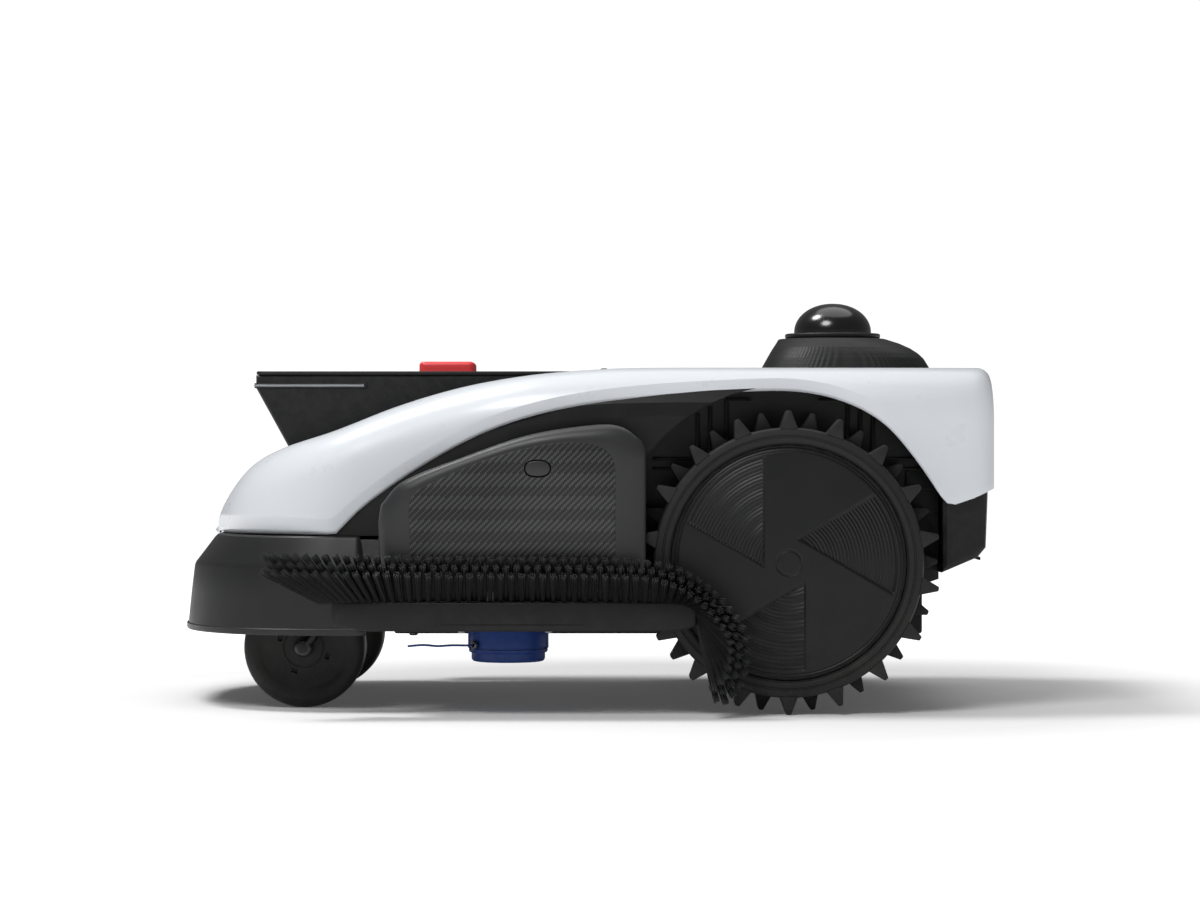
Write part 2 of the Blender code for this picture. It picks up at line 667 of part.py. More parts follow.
def tyre(side, sign):
    face, back = sign * WHEEL_FACE_Y, sign * (WHEEL_FACE_Y - WHEEL_WIDTH)
    middle = (face + back) / 2
    half_step = math.pi / LUGS_PER_ROW
    body = make("tyre_" + side, extruded(lug_outline(half_step), "Y", face, middle - sign * 0.001),
                "rubber", (WHEEL_X, middle, WHEEL_Z))
    row = helper("inner_lugs_" + side, extruded(lug_outline(0.0), "Y", middle, back))
    radius = RIM_RADIUS + 2 * GAP
    through = [(0, sign * 0.13), (radius, sign * 0.13), (radius, sign * 0.23), (0, sign * 0.23)]
    bore = helper("tyre_bore_" + side,
                  turned(through, (WHEEL_X, 0, WHEEL_Z), "Y", steps=WHEEL_FACETS))
    join(body, row)
    cut(body, bore)


def wheel_parts(side, sign):
    origin = (WHEEL_X, sign * (WHEEL_FACE_Y - WHEEL_WIDTH / 2), WHEEL_Z)
    face = WHEEL_FACE_Y - 0.003
    back = WHEEL_FACE_Y - WHEEL_WIDTH + 0.004
    profile = [(0.0125, back), (0.0300, back), (0.0340, back + 0.012), (0.0840, back + 0.012),
               (0.0860, back), (RIM_RADIUS, back), (RIM_RADIUS, face - 0.003), (0.0860, face - 0.003),
               (0.0840, back + 0.018), (0.0340, back + 0.018), (0.0125, back + 0.018)]
    rim = turned([(r, sign * y) for r, y in profile], (WHEEL_X, 0, WHEEL_Z), "Y", steps=WHEEL_FACETS)
    make("wheel_rim_" + side, rim, "black", origin)
    cap_back = face - 0.0025
    cap = [(0, cap_back), (CAP_RADIUS, cap_back), (CAP_RADIUS, face + 0.0010),
           (0.0865, face + 0.0030), (0.060, face + 0.0042), (0, face + 0.0048)]
    make("wheel_cap_" + side, turned([(r, sign * y) for r, y in cap], (WHEEL_X, 0, WHEEL_Z), "Y",
         steps=36), "graphite", origin)
    axle = [(0, 0.1395), (0.0090, 0.1395), (0.0090, 0.1480), (0.0120, 0.1480), (0.0120, 0.1760),
            (0, 0.1760)]
    make("wheel_axle_" + side, turned([(r, sign * y) for r, y in axle], (WHEEL_X, 0, WHEEL_Z), "Y",
         steps=24), "steel", origin)
    motor = [(0, 0.0640), (0.0290, 0.0640), (0.0310, 0.0660), (0.0310, 0.1375), (0.0100, 0.1375),
             (0.0100, 0.1390), (0, 0.1390)]
    make("drive_motor_" + side, turned([(r, sign * y) for r, y in motor], (WHEEL_X, 0, WHEEL_Z),
         "Y", steps=28), "steel")


# ---------------------------------------------------------------- cutting system

def cutting_system():
    axis = (DISC_X, 0, 0)
    carriage = [(0.0125, 0.0780), (0.0290, 0.0780), (0.0290, 0.1560), (0.0260, 0.1560),
                (0.0260, 0.0815), (0.0125, 0.0815)]
    make("cutter_carriage", turned(carriage, axis, steps=32), "graphite", (DISC_X, 0, 0.1000))
    motor = [(0, 0.0820), (0.0240, 0.0820), (0.0250, 0.0830), (0.0250, 0.1280), (0.0100, 0.1300),
             (0, 0.1300)]
    make("cutter_motor", turned(motor, axis, steps=28), "steel", (DISC_X, 0, 0.1000))
    top = DISC_Z + DISC_THICKNESS
    disc = [(0, DISC_Z), (DISC_RADIUS - 0.002, DISC_Z), (DISC_RADIUS, DISC_Z + 0.002),
            (DISC_RADIUS, top - 0.0015), (DISC_RADIUS - 0.010, top - 0.0015), (0.030, top),
            (0.0115, top), (0.0115, 0.0816), (0, 0.0816)]
    make("blade_disc", turned(disc, axis, steps=36), "graphite", (DISC_X, 0, DISC_Z))
    for i in range(BLADE_COUNT):
        turn = math.tau * i / BLADE_COUNT
        x = DISC_X + BLADE_PIVOT_RADIUS * math.cos(turn)
        y = BLADE_PIVOT_RADIUS * math.sin(turn)
        outline = [(-0.008, -0.0085), (0.0300, -0.0085), (0.0345, -0.0050), (0.0345, 0.0050),
                   (0.0300, 0.0085), (-0.008, 0.0085)]
        bm = extruded(outline, "Z", 0.0646, 0.0646 + 0.0014)
        bmesh.ops.rotate(bm, cent=(0, 0, 0), matrix=Matrix.Rotation(turn, 3, "Z"), verts=bm.verts)
        bmesh.ops.translate(bm, vec=(x, y, 0), verts=bm.verts)
        make(f"razor_blade_{i + 1}", bm, "steel", (x, y, 0.0650))


# ---------------------------------------------------------------- pods

def side_pod(side, sign):
    inner, outer = sign * POD_INNER_Y, sign * POD_OUTER_Y
    pod = make("side_pod_" + side, extruded(POD_LINE, "Y", inner, outer, 0.008, 3, True), "graphite")
    middle = Vector((-0.060, 0.155))
    shrunk = []
    for x, z in POD_LINE:
        away = Vector((x, z)) - middle
        shrunk.append((x - math.copysign(POD_WALL, away.x), z - math.copysign(POD_WALL, away.y)))
    hollow = helper("pod_hollow_" + side, extruded(
        shrunk, "Y", inner - sign * 0.01, outer - sign * POD_WALL, 0.006, 2, True))
    wheel = helper("pod_wheel_room_" + side, rod(
        (WHEEL_X, sign * 0.16, WHEEL_Z), (WHEEL_X, sign * (WHEEL_FACE_Y + 0.002), WHEEL_Z),
        LUG_RADIUS + 0.0025, 48))
    hole = helper("pod_button_hole_" + side,
                  extruded(oval(0.0104, 0.0069), "Y", sign * 0.21, sign * 0.23))
    cut(pod, hollow, wheel, hole)
    return pod


INSERT_LINE = (
    [(-0.1470, 0.1000), (-0.1480, 0.1700)]
    + smooth_curve([(-0.1405, 0.1735), (-0.1065, 0.1915), (-0.0727, 0.2037),
                    (-0.0390, 0.2116), (-0.0150, 0.2128), (0.0000, 0.2091),
                    (0.0085, 0.2020), (0.0118, 0.1940)], 3)
    + [(0.0121, 0.1000)]
)
BUTTON_X = -0.0485
BUTTON_Z = 0.1926


def oval(half_x, half_z, steps=24):
    return [(BUTTON_X + half_x * math.cos(math.tau * i / steps),
             BUTTON_Z + half_z * math.sin(math.tau * i / steps)) for i in range(steps)]


def carbon_insert(side, sign):
    low, high = sign * (POD_OUTER_Y + GAP), sign * (POD_OUTER_Y + 0.0016)
    insert = make("carbon_insert_" + side, extruded(INSERT_LINE, "Y", low, high), "carbon")
    cut(insert, bpy.data.objects["pod_button_hole_" + side])
    face = sign * (POD_OUTER_Y + 0.0022)
    back = sign * (POD_OUTER_Y - 0.0026)
    make("oval_button_" + side, extruded(oval(0.0099, 0.0064), "Y", back, face, 0.0006, 1, True),
         "graphite", (BUTTON_X, face, BUTTON_Z))


# ---------------------------------------------------------------- trimmer and brush

def holder_curve(x):
    """How far out the holder's inner face stands at x."""
    middle = (HOLDER_FRONT_X + HOLDER_REAR_X) / 2
    span = (HOLDER_REAR_X - HOLDER_FRONT_X) / 2
    return 0.2235 - 0.0080 * ((x - middle) / span) ** 2


def brush_holder():
    steps = 10
    xs = [HOLDER_FRONT_X + (HOLDER_REAR_X - HOLDER_FRONT_X) * i / steps for i in range(steps + 1)]
    inner = [(x, -holder_curve(x)) for x in xs]
    outer = [(x, -holder_curve(x) - 0.0125) for x in reversed(xs)]
    bar = make("brush_holder", extruded(inner + outer, "Z", HOLDER_LOW_Z, HOLDER_HIGH_Z, 0.003, 2),
               "black")
    arm = helper("holder_arm", block((-0.118, -0.226, 0.0668), (-0.028, -0.1425, 0.0716), 0.001, 1))
    bore = helper("holder_bore", rod((TRIMMER_X, TRIMMER_Y, 0.05), (TRIMMER_X, TRIMMER_Y, 0.09),
                  0.0075, 24))
    join(bar, arm)
    cut(bar, bore)
    return bar


def side_brush():
    """Bristle envelope: a band that fans out and wraps down round the holder's rear end."""
    route = [(-0.232, -0.2250, 0.0950), (-0.190, -0.2280, 0.0950), (-0.130, -0.2300, 0.0950),
             (-0.070, -0.2310, 0.0950), (-0.010, -0.2310, 0.0950), (0.045, -0.2300, 0.0950),
             (0.080, -0.2290, 0.0900), (0.086, -0.2280, 0.0660), (0.085, -0.2270, 0.0360)]
    tips = [(-0.245, -0.240, 0.1150), (-0.190, -0.247, 0.1230), (-0.130, -0.2485, 0.1240),
            (-0.070, -0.2490, 0.1240), (-0.010, -0.2485, 0.1230), (0.052, -0.2470, 0.1150),
            (0.092, -0.2460, 0.0950), (0.108, -0.2450, 0.0640), (0.104, -0.2440, 0.0100)]
    roots = [Vector(p) for p in smooth_curve(route, 2)]
    ends = [Vector(p) for p in smooth_curve(tips, 2)]
    sections = []
    for i, (root, tip) in enumerate(zip(roots, ends)):
        along = roots[min(i + 1, len(roots) - 1)] - roots[max(i - 1, 0)]
        across = (tip - root).cross(along).normalized() * BRUSH_HALF_THICKNESS
        sections.append([root + across, tip + across, tip - across, root - across])
    return make("side_brush", loft(sections), "bristle", smooth_angle=50.0)


def trimmer():
    axis = (TRIMMER_X, TRIMMER_Y, 0)
    motor = [(0, 0.0722), (0.0200, 0.0722), (0.0210, 0.0735), (0.0210, 0.0960), (0, 0.0960)]
    make("trimmer_motor", turned(motor, axis, steps=28), "steel")
    radius = TRIMMER_RADIUS
    head = [(0, 0.0475), (0.0300, 0.0475), (0.0300, 0.0460), (radius, 0.0460), (radius, 0.0590),
            (0.0300, 0.0640), (0.0065, 0.0650), (0.0065, 0.0715), (0, 0.0715)]
    origin = (TRIMMER_X, TRIMMER_Y, 0.0500)
    make("trimmer_head", turned(head, axis, steps=36), "blue", origin)
    cap = [(0, 0.0390), (0.0270, 0.0390), (0.0293, 0.0415), (0.0293, 0.0470), (0, 0.0470)]
    make("trimmer_spool_cap", turned(cap, axis, steps=32), "blue", origin)
    eyelet = turned(ring_profile(0.0016, 0.0042, 0.0, 0.0028), (0, 0, 0), "X", steps=20)
    turn = math.radians(218)
    out = Vector((math.cos(turn), math.sin(turn), 0))
    bmesh.ops.rotate(eyelet, cent=(0, 0, 0), matrix=Matrix.Rotation(turn, 3, "Z"),
                     verts=eyelet.verts)
    bmesh.ops.translate(eyelet, vec=Vector((TRIMMER_X, TRIMMER_Y, 0.0528)) + out * (radius + GAP),
                        verts=eyelet.verts)
    make("line_eyelet", eyelet, "steel", origin)
    start = Vector((TRIMMER_X, TRIMMER_Y, 0.0528)) + out * (radius + 0.0034)
    line_curve(start, out, origin)


def line_curve(start, out, origin):
    """The nylon cutting line that leaves the eyelet."""
    route = [start, start + out * 0.005, start + Vector((-0.016, -0.0060, 0.0003)),
             start + Vector((-0.027, -0.0068, -0.0003)), start + Vector((-0.038, -0.0070, 0.0006)),
             start + Vector((-0.0505, -0.0065, -0.0004))]
    centre = smooth_curve(route, 3)
    curve = bpy.data.curves.new("trimmer_line", "CURVE")
    curve.dimensions = "3D"
    curve.bevel_depth = 0.0009
    curve.bevel_resolution = 2
    curve.use_fill_caps = True
    spline = curve.splines.new("POLY")
    spline.points.add(len(centre) - 1)
    for point, place in zip(spline.points, centre):
        point.co = (*(Vector(place) - Vector(origin)), 1.0)
    line = bpy.data.objects.new("trimmer_line", curve)
    bpy.context.scene.collection.objects.link(line)
    curve.materials.append(finish_material("trimmer_line", *FINISHES["blue"]))
    line.parent = FRAME
    line.location = origin


# ---------------------------------------------------------------- inside

def electrics():
    make("battery_pack", block((0.1220, -0.0490, 0.0660), (0.2280, 0.0490, 0.1180), 0.004), "black")
    make("battery_cover", block((0.1200, -0.0500, 0.0602), (0.2300, 0.0500, 0.0640), 0.0008, 1),
         "graphite")
    make("main_board", block((0.0300, -0.0600, 0.1800), (0.2000, 0.0600, 0.1816)), "board")
    for side, sign in SIDES:
        make("charging_contact_" + side, block(
            (0.3070, sign * 0.030 - 0.006, 0.1380), (0.3085, sign * 0.030 + 0.006, 0.1580),
            0.0004, 1), "copper")


def build():
    white_shell()
    main_housing()
    chassis()
    cutting_deck()
    rear_cover()
    console_housing()
    console_lid()
    console_controls()
    light_bar()
    camera_window()
    lidar_hump()
    lidar_turret()
    front_bumper()
    casters()
    cutting_system()
    for side, sign in SIDES:
        tyre(side, sign)
        wheel_parts(side, sign)
        side_pod(side, sign)
        carbon_insert(side, sign)
    brush_holder()
    side_brush()
    trimmer()
    electrics()


build()
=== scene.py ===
"""Looks of the robotic lawn mower: shells, tyres, brush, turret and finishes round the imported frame."""

import math
import random

import bmesh
import bpy
from mathutils import Matrix, Vector


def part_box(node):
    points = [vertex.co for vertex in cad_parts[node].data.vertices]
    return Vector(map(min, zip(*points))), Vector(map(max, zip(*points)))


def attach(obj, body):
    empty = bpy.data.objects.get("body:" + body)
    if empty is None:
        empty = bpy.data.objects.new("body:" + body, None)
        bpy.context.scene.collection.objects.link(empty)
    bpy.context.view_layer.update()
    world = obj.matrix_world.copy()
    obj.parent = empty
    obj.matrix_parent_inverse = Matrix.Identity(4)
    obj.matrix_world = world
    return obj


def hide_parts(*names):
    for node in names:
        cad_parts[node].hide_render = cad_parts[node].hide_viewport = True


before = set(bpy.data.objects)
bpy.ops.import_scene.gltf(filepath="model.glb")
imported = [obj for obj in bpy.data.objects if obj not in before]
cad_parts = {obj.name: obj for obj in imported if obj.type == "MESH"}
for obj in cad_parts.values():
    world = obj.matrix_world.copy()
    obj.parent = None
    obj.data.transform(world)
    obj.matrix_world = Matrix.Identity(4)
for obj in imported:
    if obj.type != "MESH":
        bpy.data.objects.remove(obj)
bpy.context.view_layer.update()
random.seed(7)


# ------------------------------------------------------------ places, read from the frame

def corners(node):
    low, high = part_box(node)
    return Vector(low), Vector(high)


def middle_of(node):
    low, high = corners(node)
    return (low + high) / 2


SHELL_LOW, SHELL_HIGH = corners("white_shell")
MIDDLE_Y = (SHELL_LOW.y + SHELL_HIGH.y) / 2
WHEEL = middle_of("tyre_left")
WHEEL_X, WHEEL_Z = WHEEL.x, WHEEL.z
# The design's own zero along X; the camera stands abreast of it.
DATUM_X = WHEEL_X - 0.1475
SIDES = (("left", -1), ("right", 1))
STEEL, BLACK, WHITE = "plain_steel", "black_plastic", "white_gloss"


def axis_of(node):
    """Where an upright node's middle line meets the ground."""
    low, high = corners(node)
    return Vector(((low.x + high.x) / 2, (low.y + high.y) / 2, 0))


def place(x, y, z):
    """A point given from the design's zero and the machine's middle plane."""
    return Vector((DATUM_X + x, MIDDLE_Y + y, z))


# ------------------------------------------------------------ camera, first of all

CAMERA_DISTANCE = 2.81
CAMERA_HEIGHT = 0.207
LENS = 100.0


def set_camera():
    data = bpy.data.cameras.new("side_view")
    data.lens = LENS
    data.sensor_width = 36.0
    data.clip_end = 60.0
    camera = bpy.data.objects.new("side_view", data)
    bpy.context.scene.collection.objects.link(camera)
    camera.location = place(0.0, -CAMERA_DISTANCE, CAMERA_HEIGHT)
    camera.rotation_euler = (math.pi / 2, 0.0, 0.0)
    bpy.context.scene.camera = camera


set_camera()


# ------------------------------------------------------------ shader groups

def new_group(name, inputs, outputs):
    tree = bpy.data.node_groups.new(name, "ShaderNodeTree")
    for label, kind, value in inputs:
        socket = tree.interface.new_socket(name=label, in_out="INPUT", socket_type=kind)
        socket.default_value = value
    for label, kind in outputs:
        tree.interface.new_socket(name=label, in_out="OUTPUT", socket_type=kind)
    return tree, tree.nodes.new("NodeGroupInput"), tree.nodes.new("NodeGroupOutput")


FLOAT = "NodeSocketFloat"


def node(tree, kind, **settings):
    made = tree.nodes.new(kind)
    for key, value in settings.items():
        setattr(made, key, value)
    return made


def wire(tree, source, target):
    tree.links.new(source, target)


def maths(tree, operation, first, second=None, third=None, clamp=False):
    made = node(tree, "ShaderNodeMath", operation=operation, use_clamp=clamp)
    for slot, value in zip(made.inputs, (first, second, third)):
        if value is None:
            continue
        if isinstance(value, (int, float)):
            slot.default_value = value
        else:
            wire(tree, value, slot)
    return made.outputs[0]


def noise(tree, vector, scale, detail=3.0, roughness=0.5):
    made = node(tree, "ShaderNodeTexNoise")
    made.inputs["Detail"].default_value = detail
    made.inputs["Roughness"].default_value = roughness
    if isinstance(scale, (int, float)):
        made.inputs["Scale"].default_value = scale
    else:
        wire(tree, scale, made.inputs["Scale"])
    wire(tree, vector, made.inputs["Vector"])
    return made.outputs[0]


def spread(tree, value, low, high, to_low=0.0, to_high=1.0):
    made = node(tree, "ShaderNodeMapRange", clamp=True)
    wire(tree, value, made.inputs["Value"])
    for label, number in (("From Min", low), ("From Max", high), ("To Min", to_low), ("To Max", to_high)):
        if isinstance(number, (int, float)):
            made.inputs[label].default_value = number
        else:
            wire(tree, number, made.inputs[label])
    return made.outputs[0]


def blend_colour(tree, mask, first, second):
    made = node(tree, "ShaderNodeMix", data_type="RGBA")
    for slot, value in ((made.inputs[0], mask), (made.inputs[6], first), (made.inputs[7], second)):
        if isinstance(value, (int, float)):
            slot.default_value = value
        elif isinstance(value, tuple):
            slot.default_value = value
        else:
            wire(tree, value, slot)
    return made.outputs[2]


def object_coordinates(tree):
    return node(tree, "ShaderNodeTexCoord").outputs["Object"]


def moulded_grain_group():
    """Fine moulded texture: a height, and a slow mottle for colour and gloss."""
    tree, into, out = new_group("moulded_grain", [("Scale", FLOAT, 900.0)],
                                [("Height", FLOAT), ("Mottle", FLOAT), ("Gloss", FLOAT)])
    place_at = object_coordinates(tree)
    fine = noise(tree, place_at, into.outputs["Scale"], 2.0)
    pores = node(tree, "ShaderNodeTexVoronoi", feature="F1")
    wire(tree, maths(tree, "MULTIPLY", into.outputs["Scale"], 0.55), pores.inputs["Scale"])
    wire(tree, place_at, pores.inputs["Vector"])
    height = maths(tree, "ADD", maths(tree, "MULTIPLY", fine, 0.5),
                   maths(tree, "MULTIPLY", pores.outputs["Distance"], 0.5))
    wire(tree, height, out.inputs["Height"])
    wire(tree, spread(tree, noise(tree, place_at, 9.0, 4.0), 0.35, 0.65), out.inputs["Mottle"])
    wire(tree, spread(tree, noise(tree, place_at, 34.0, 5.0, 0.6), 0.3, 0.7), out.inputs["Gloss"])
    return tree


def edge_wear_and_sheen_group():
    """Lighter sharp outer edges: 1 on sharp outer edges, broken up by noise; rubbed wear on most parts,
    painted highlight on the red stop button's rims.
    """
    tree, into, out = new_group("edge_wear_and_sheen", [("Amount", FLOAT, 0.5)], [("Mask", FLOAT)])
    bend = node(tree, "ShaderNodeNewGeometry").outputs["Pointiness"]
    edge_mask = spread(tree, bend, 0.53, 0.60)
    broken = spread(tree, noise(tree, object_coordinates(tree), 140.0, 4.0, 0.6), 0.38, 0.62)
    mask = maths(tree, "MULTIPLY", maths(tree, "MULTIPLY", edge_mask, broken), into.outputs["Amount"])
    wire(tree, mask, out.inputs["Mask"])
    return tree


def garden_dust_group():
    """Dust that lies on upward faces and gathers near the ground."""
    tree, into, out = new_group(
        "garden_dust", [("Amount", FLOAT, 0.2), ("Ground", FLOAT, 0.12)], [("Mask", FLOAT)])
    geometry = node(tree, "ShaderNodeNewGeometry")
    split = node(tree, "ShaderNodeSeparateXYZ")
    wire(tree, geometry.outputs["Normal"], split.inputs[0])
    upward = spread(tree, split.outputs["Z"], 0.2, 1.0)
    place_at = object_coordinates(tree)
    height = node(tree, "ShaderNodeSeparateXYZ")
    wire(tree, place_at, height.inputs[0])
    low = spread(tree, height.outputs["Z"], 0.0, into.outputs["Ground"], 1.0, 0.0)
    cloud = spread(tree, noise(tree, place_at, 28.0, 6.0, 0.65), 0.42, 0.72)
    speck = spread(tree, noise(tree, place_at, 420.0, 2.0, 0.5), 0.60, 0.72)
    lying = maths(tree, "ADD", maths(tree, "MULTIPLY", upward, 0.5), low, clamp=True)
    patches = maths(tree, "MAXIMUM", cloud, maths(tree, "MULTIPLY", speck, 0.6))
    mask = maths(tree, "MULTIPLY", lying, patches)
    wire(tree, maths(tree, "MULTIPLY", mask, into.outputs["Amount"]), out.inputs["Mask"])
    return tree


def twill_weave_group():
    """Two-by-two twill on the side faces: diagonal ribs, stepped like crossing tows."""
    tree, into, out = new_group("twill_weave", [("Pitch", FLOAT, 0.0050), ("Steep", FLOAT, 0.93)],
                                [("Rib", FLOAT), ("Height", FLOAT)])
    split = node(tree, "ShaderNodeSeparateXYZ")
    wire(tree, object_coordinates(tree), split.inputs[0])
    tow = 0.00125
    x = split.outputs["X"]
    z = split.outputs["Z"]
    x_step = maths(tree, "MULTIPLY", maths(tree, "FLOOR", maths(tree, "DIVIDE", x, tow)), tow)
    z_step = maths(tree, "MULTIPLY", maths(tree, "FLOOR", maths(tree, "DIVIDE", z, tow)), tow)
    along = maths(tree, "SUBTRACT", x_step, maths(tree, "MULTIPLY", z_step, into.outputs["Steep"]))
    phase = maths(tree, "FRACT", maths(tree, "DIVIDE", along, into.outputs["Pitch"]))
    rib = maths(tree, "LESS_THAN", phase, 0.38)
    smooth_x = maths(tree, "ABSOLUTE", maths(tree, "SUBTRACT", maths(
        tree, "FRACT", maths(tree, "DIVIDE", x, tow)), 0.5))
    smooth_z = maths(tree, "ABSOLUTE", maths(tree, "SUBTRACT", maths(
        tree, "FRACT", maths(tree, "DIVIDE", z, tow)), 0.5))
    crown = maths(tree, "SUBTRACT", 1.0, maths(tree, "ADD", smooth_x, smooth_z))
    wire(tree, maths(tree, "MULTIPLY", rib, maths(tree, "ADD", 0.45, maths(
        tree, "MULTIPLY", crown, 0.8)), clamp=True), out.inputs["Rib"])
    wire(tree, maths(tree, "ADD", maths(tree, "MULTIPLY", rib, 0.6), maths(
        tree, "MULTIPLY", crown, 0.4)), out.inputs["Height"])
    return tree


def brushed_group():
    """Fine turning or brushing lines, as a height and a roughness shift."""
    tree, into, out = new_group("brushed_lines", [("Scale", FLOAT, 60.0)],
                                [("Height", FLOAT), ("Shift", FLOAT)])
    stretch = node(tree, "ShaderNodeMapping")
    stretch.inputs["Scale"].default_value = (1.0, 18.0, 18.0)
    wire(tree, object_coordinates(tree), stretch.inputs["Vector"])
    lines = noise(tree, stretch.outputs[0], into.outputs["Scale"], 4.0, 0.6)
    wire(tree, lines, out.inputs["Height"])
    wire(tree, spread(tree, lines, 0.3, 0.7, -0.08, 0.10), out.inputs["Shift"])
    return tree


GRAIN, EDGE_WEAR_AND_SHEEN, DUST = moulded_grain_group(), edge_wear_and_sheen_group(), garden_dust_group()
TWILL, BRUSHED = twill_weave_group(), brushed_group()
DUST_COLOUR = (0.30, 0.27, 0.21, 1.0)


# ------------------------------------------------------------ materials

def start_material(name, **constants):
    material = bpy.data.materials.new(name)
    material.use_nodes = True
    tree = material.node_tree
    shader = tree.nodes["Principled BSDF"]
    for label, value in constants.items():
        shader.inputs[label.replace("_", " ")].default_value = value
    return material, tree, shader


def use_group(tree, group, **values):
    made = node(tree, "ShaderNodeGroup")
    made.node_tree = group
    for label, value in values.items():
        made.inputs[label].default_value = value
    return made


def bump(tree, shader, height, distance, strength=1.0):
    made = node(tree, "ShaderNodeBump")
    made.inputs["Distance"].default_value = distance
    made.inputs["Strength"].default_value = strength
    wire(tree, height, made.inputs["Height"])
    wire(tree, made.outputs[0], shader.inputs["Normal"])


def plastic(name, colour, roughness, grain=900.0, depth=0.00004, edge_amount=0.3, edge_tone=None, dust=0.15,
            mottle=0.10, **constants):
    """Moulded plastic or painted resin: grain, slow mottle, lighter sharp edges (rubbed wear on most parts,
    painted highlight on the red stop button) and a little dust.
    """
    material, tree, shader = start_material(name, **constants)
    grained = use_group(tree, GRAIN, Scale=grain)
    base = (*colour, 1.0)
    darker = (*[c * (1.0 - mottle) for c in colour], 1.0)
    edge_colour = edge_tone or (*[min(c * 1.5 + 0.03, 0.95) for c in colour], 1.0)
    body = blend_colour(tree, grained.outputs["Mottle"], darker, base)
    edge_mask = use_group(tree, EDGE_WEAR_AND_SHEEN, Amount=edge_amount)
    body = blend_colour(tree, edge_mask.outputs["Mask"], body, edge_colour)
    dusty = use_group(tree, DUST, Amount=dust)
    body = blend_colour(tree, dusty.outputs["Mask"], body, DUST_COLOUR)
    wire(tree, body, shader.inputs["Base Color"])
    gloss = spread(tree, grained.outputs["Gloss"], 0.0, 1.0, roughness - 0.04, roughness + 0.05)
    gloss = maths(tree, "ADD", gloss, maths(tree, "MULTIPLY", dusty.outputs["Mask"], 0.35), clamp=True)
    wire(tree, gloss, shader.inputs["Roughness"])
    bump(tree, shader, grained.outputs["Height"], depth)
    return material


def twill_finish():
    material, tree, shader = start_material("carbon_twill", Coat_Weight=0.25, Coat_Roughness=0.30,
                                            Specular_IOR_Level=0.35)
    weave = use_group(tree, TWILL)
    groove, ridge = (0.0055, 0.0055, 0.0060, 1.0), (0.062, 0.063, 0.065, 1.0)
    body = blend_colour(tree, weave.outputs["Rib"], groove, ridge)
    dusty = use_group(tree, DUST, Amount=0.06)
    wire(tree, blend_colour(tree, dusty.outputs["Mask"], body, DUST_COLOUR), shader.inputs["Base Color"])
    wire(tree, spread(tree, weave.outputs["Rib"], 0.0, 1.0, 0.52, 0.36), shader.inputs["Roughness"])
    bump(tree, shader, weave.outputs["Height"], 0.00018)
    return material


def metal(name, colour, roughness, scale=60.0):
    material, tree, shader = start_material(name, Metallic=1.0)
    lines = use_group(tree, BRUSHED, Scale=scale)
    edge_mask = use_group(tree, EDGE_WEAR_AND_SHEEN, Amount=0.3)
    dusty = use_group(tree, DUST, Amount=0.12)
    body = blend_colour(tree, edge_mask.outputs["Mask"], (*colour, 1.0), (0.80, 0.80, 0.82, 1.0))
    wire(tree, blend_colour(tree, dusty.outputs["Mask"], body, DUST_COLOUR), shader.inputs["Base Color"])
    gloss = maths(tree, "ADD", lines.outputs["Shift"], roughness, clamp=True)
    wire(tree, gloss, shader.inputs["Roughness"])
    bump(tree, shader, lines.outputs["Height"], 0.00002)
    return material


def polished(name, colour, roughness, **constants):
    """Hard glossy resin or dark glass, with faint wipe marks in its gloss."""
    material, tree, shader = start_material(name, Coat_Weight=0.6, Coat_Roughness=0.20, **constants)
    grained = use_group(tree, GRAIN, Scale=500.0)
    body = blend_colour(tree, grained.outputs["Mottle"], (*colour, 1.0), (*[c * 1.25 for c in colour], 1.0))
    dusty = use_group(tree, DUST, Amount=0.05)
    wire(tree, blend_colour(tree, dusty.outputs["Mask"], body, DUST_COLOUR), shader.inputs["Base Color"])
    wire(tree, spread(tree, grained.outputs["Gloss"], 0.0, 1.0, roughness, roughness + 0.06),
         shader.inputs["Roughness"])
    return material


def bristle_finish():
    """Black nylon, paler at the cut ends of the filaments."""
    material, tree, shader = start_material("bristle_nylon", Specular_IOR_Level=0.25)
    tip = node(tree, "ShaderNodeAttribute", attribute_name="tip")
    end = spread(tree, tip.outputs["Fac"], 0.86, 1.0)
    streak = spread(tree, noise(tree, object_coordinates(tree), 260.0, 3.0), 0.3, 0.7)
    body = blend_colour(tree, streak, (0.0026, 0.0026, 0.0028, 1.0), (0.0062, 0.0063, 0.0066, 1.0))
    body = blend_colour(tree, end, body, (0.030, 0.031, 0.033, 1.0))
    wire(tree, body, shader.inputs["Base Color"])
    wire(tree, spread(tree, streak, 0.0, 1.0, 0.42, 0.58), shader.inputs["Roughness"])
    return material


def board_finish():
    """Lacquered circuit board with copper tracks."""
    material, tree, shader = start_material("board_lacquer")
    grid = node(tree, "ShaderNodeTexBrick")
    grid.inputs["Scale"].default_value = 60.0
    grid.inputs["Mortar Size"].default_value = 0.03
    grid.inputs["Color1"].default_value = (0.012, 0.10, 0.045, 1.0)
    grid.inputs["Color2"].default_value = (0.015, 0.13, 0.055, 1.0)
    grid.inputs["Mortar"].default_value = (0.05, 0.20, 0.09, 1.0)
    wire(tree, object_coordinates(tree), grid.inputs["Vector"])
    wire(tree, grid.outputs["Color"], shader.inputs["Base Color"])
    grained = use_group(tree, GRAIN, Scale=300.0)
    wire(tree, spread(tree, grained.outputs["Gloss"], 0.0, 1.0, 0.3, 0.5), shader.inputs["Roughness"])
    return material


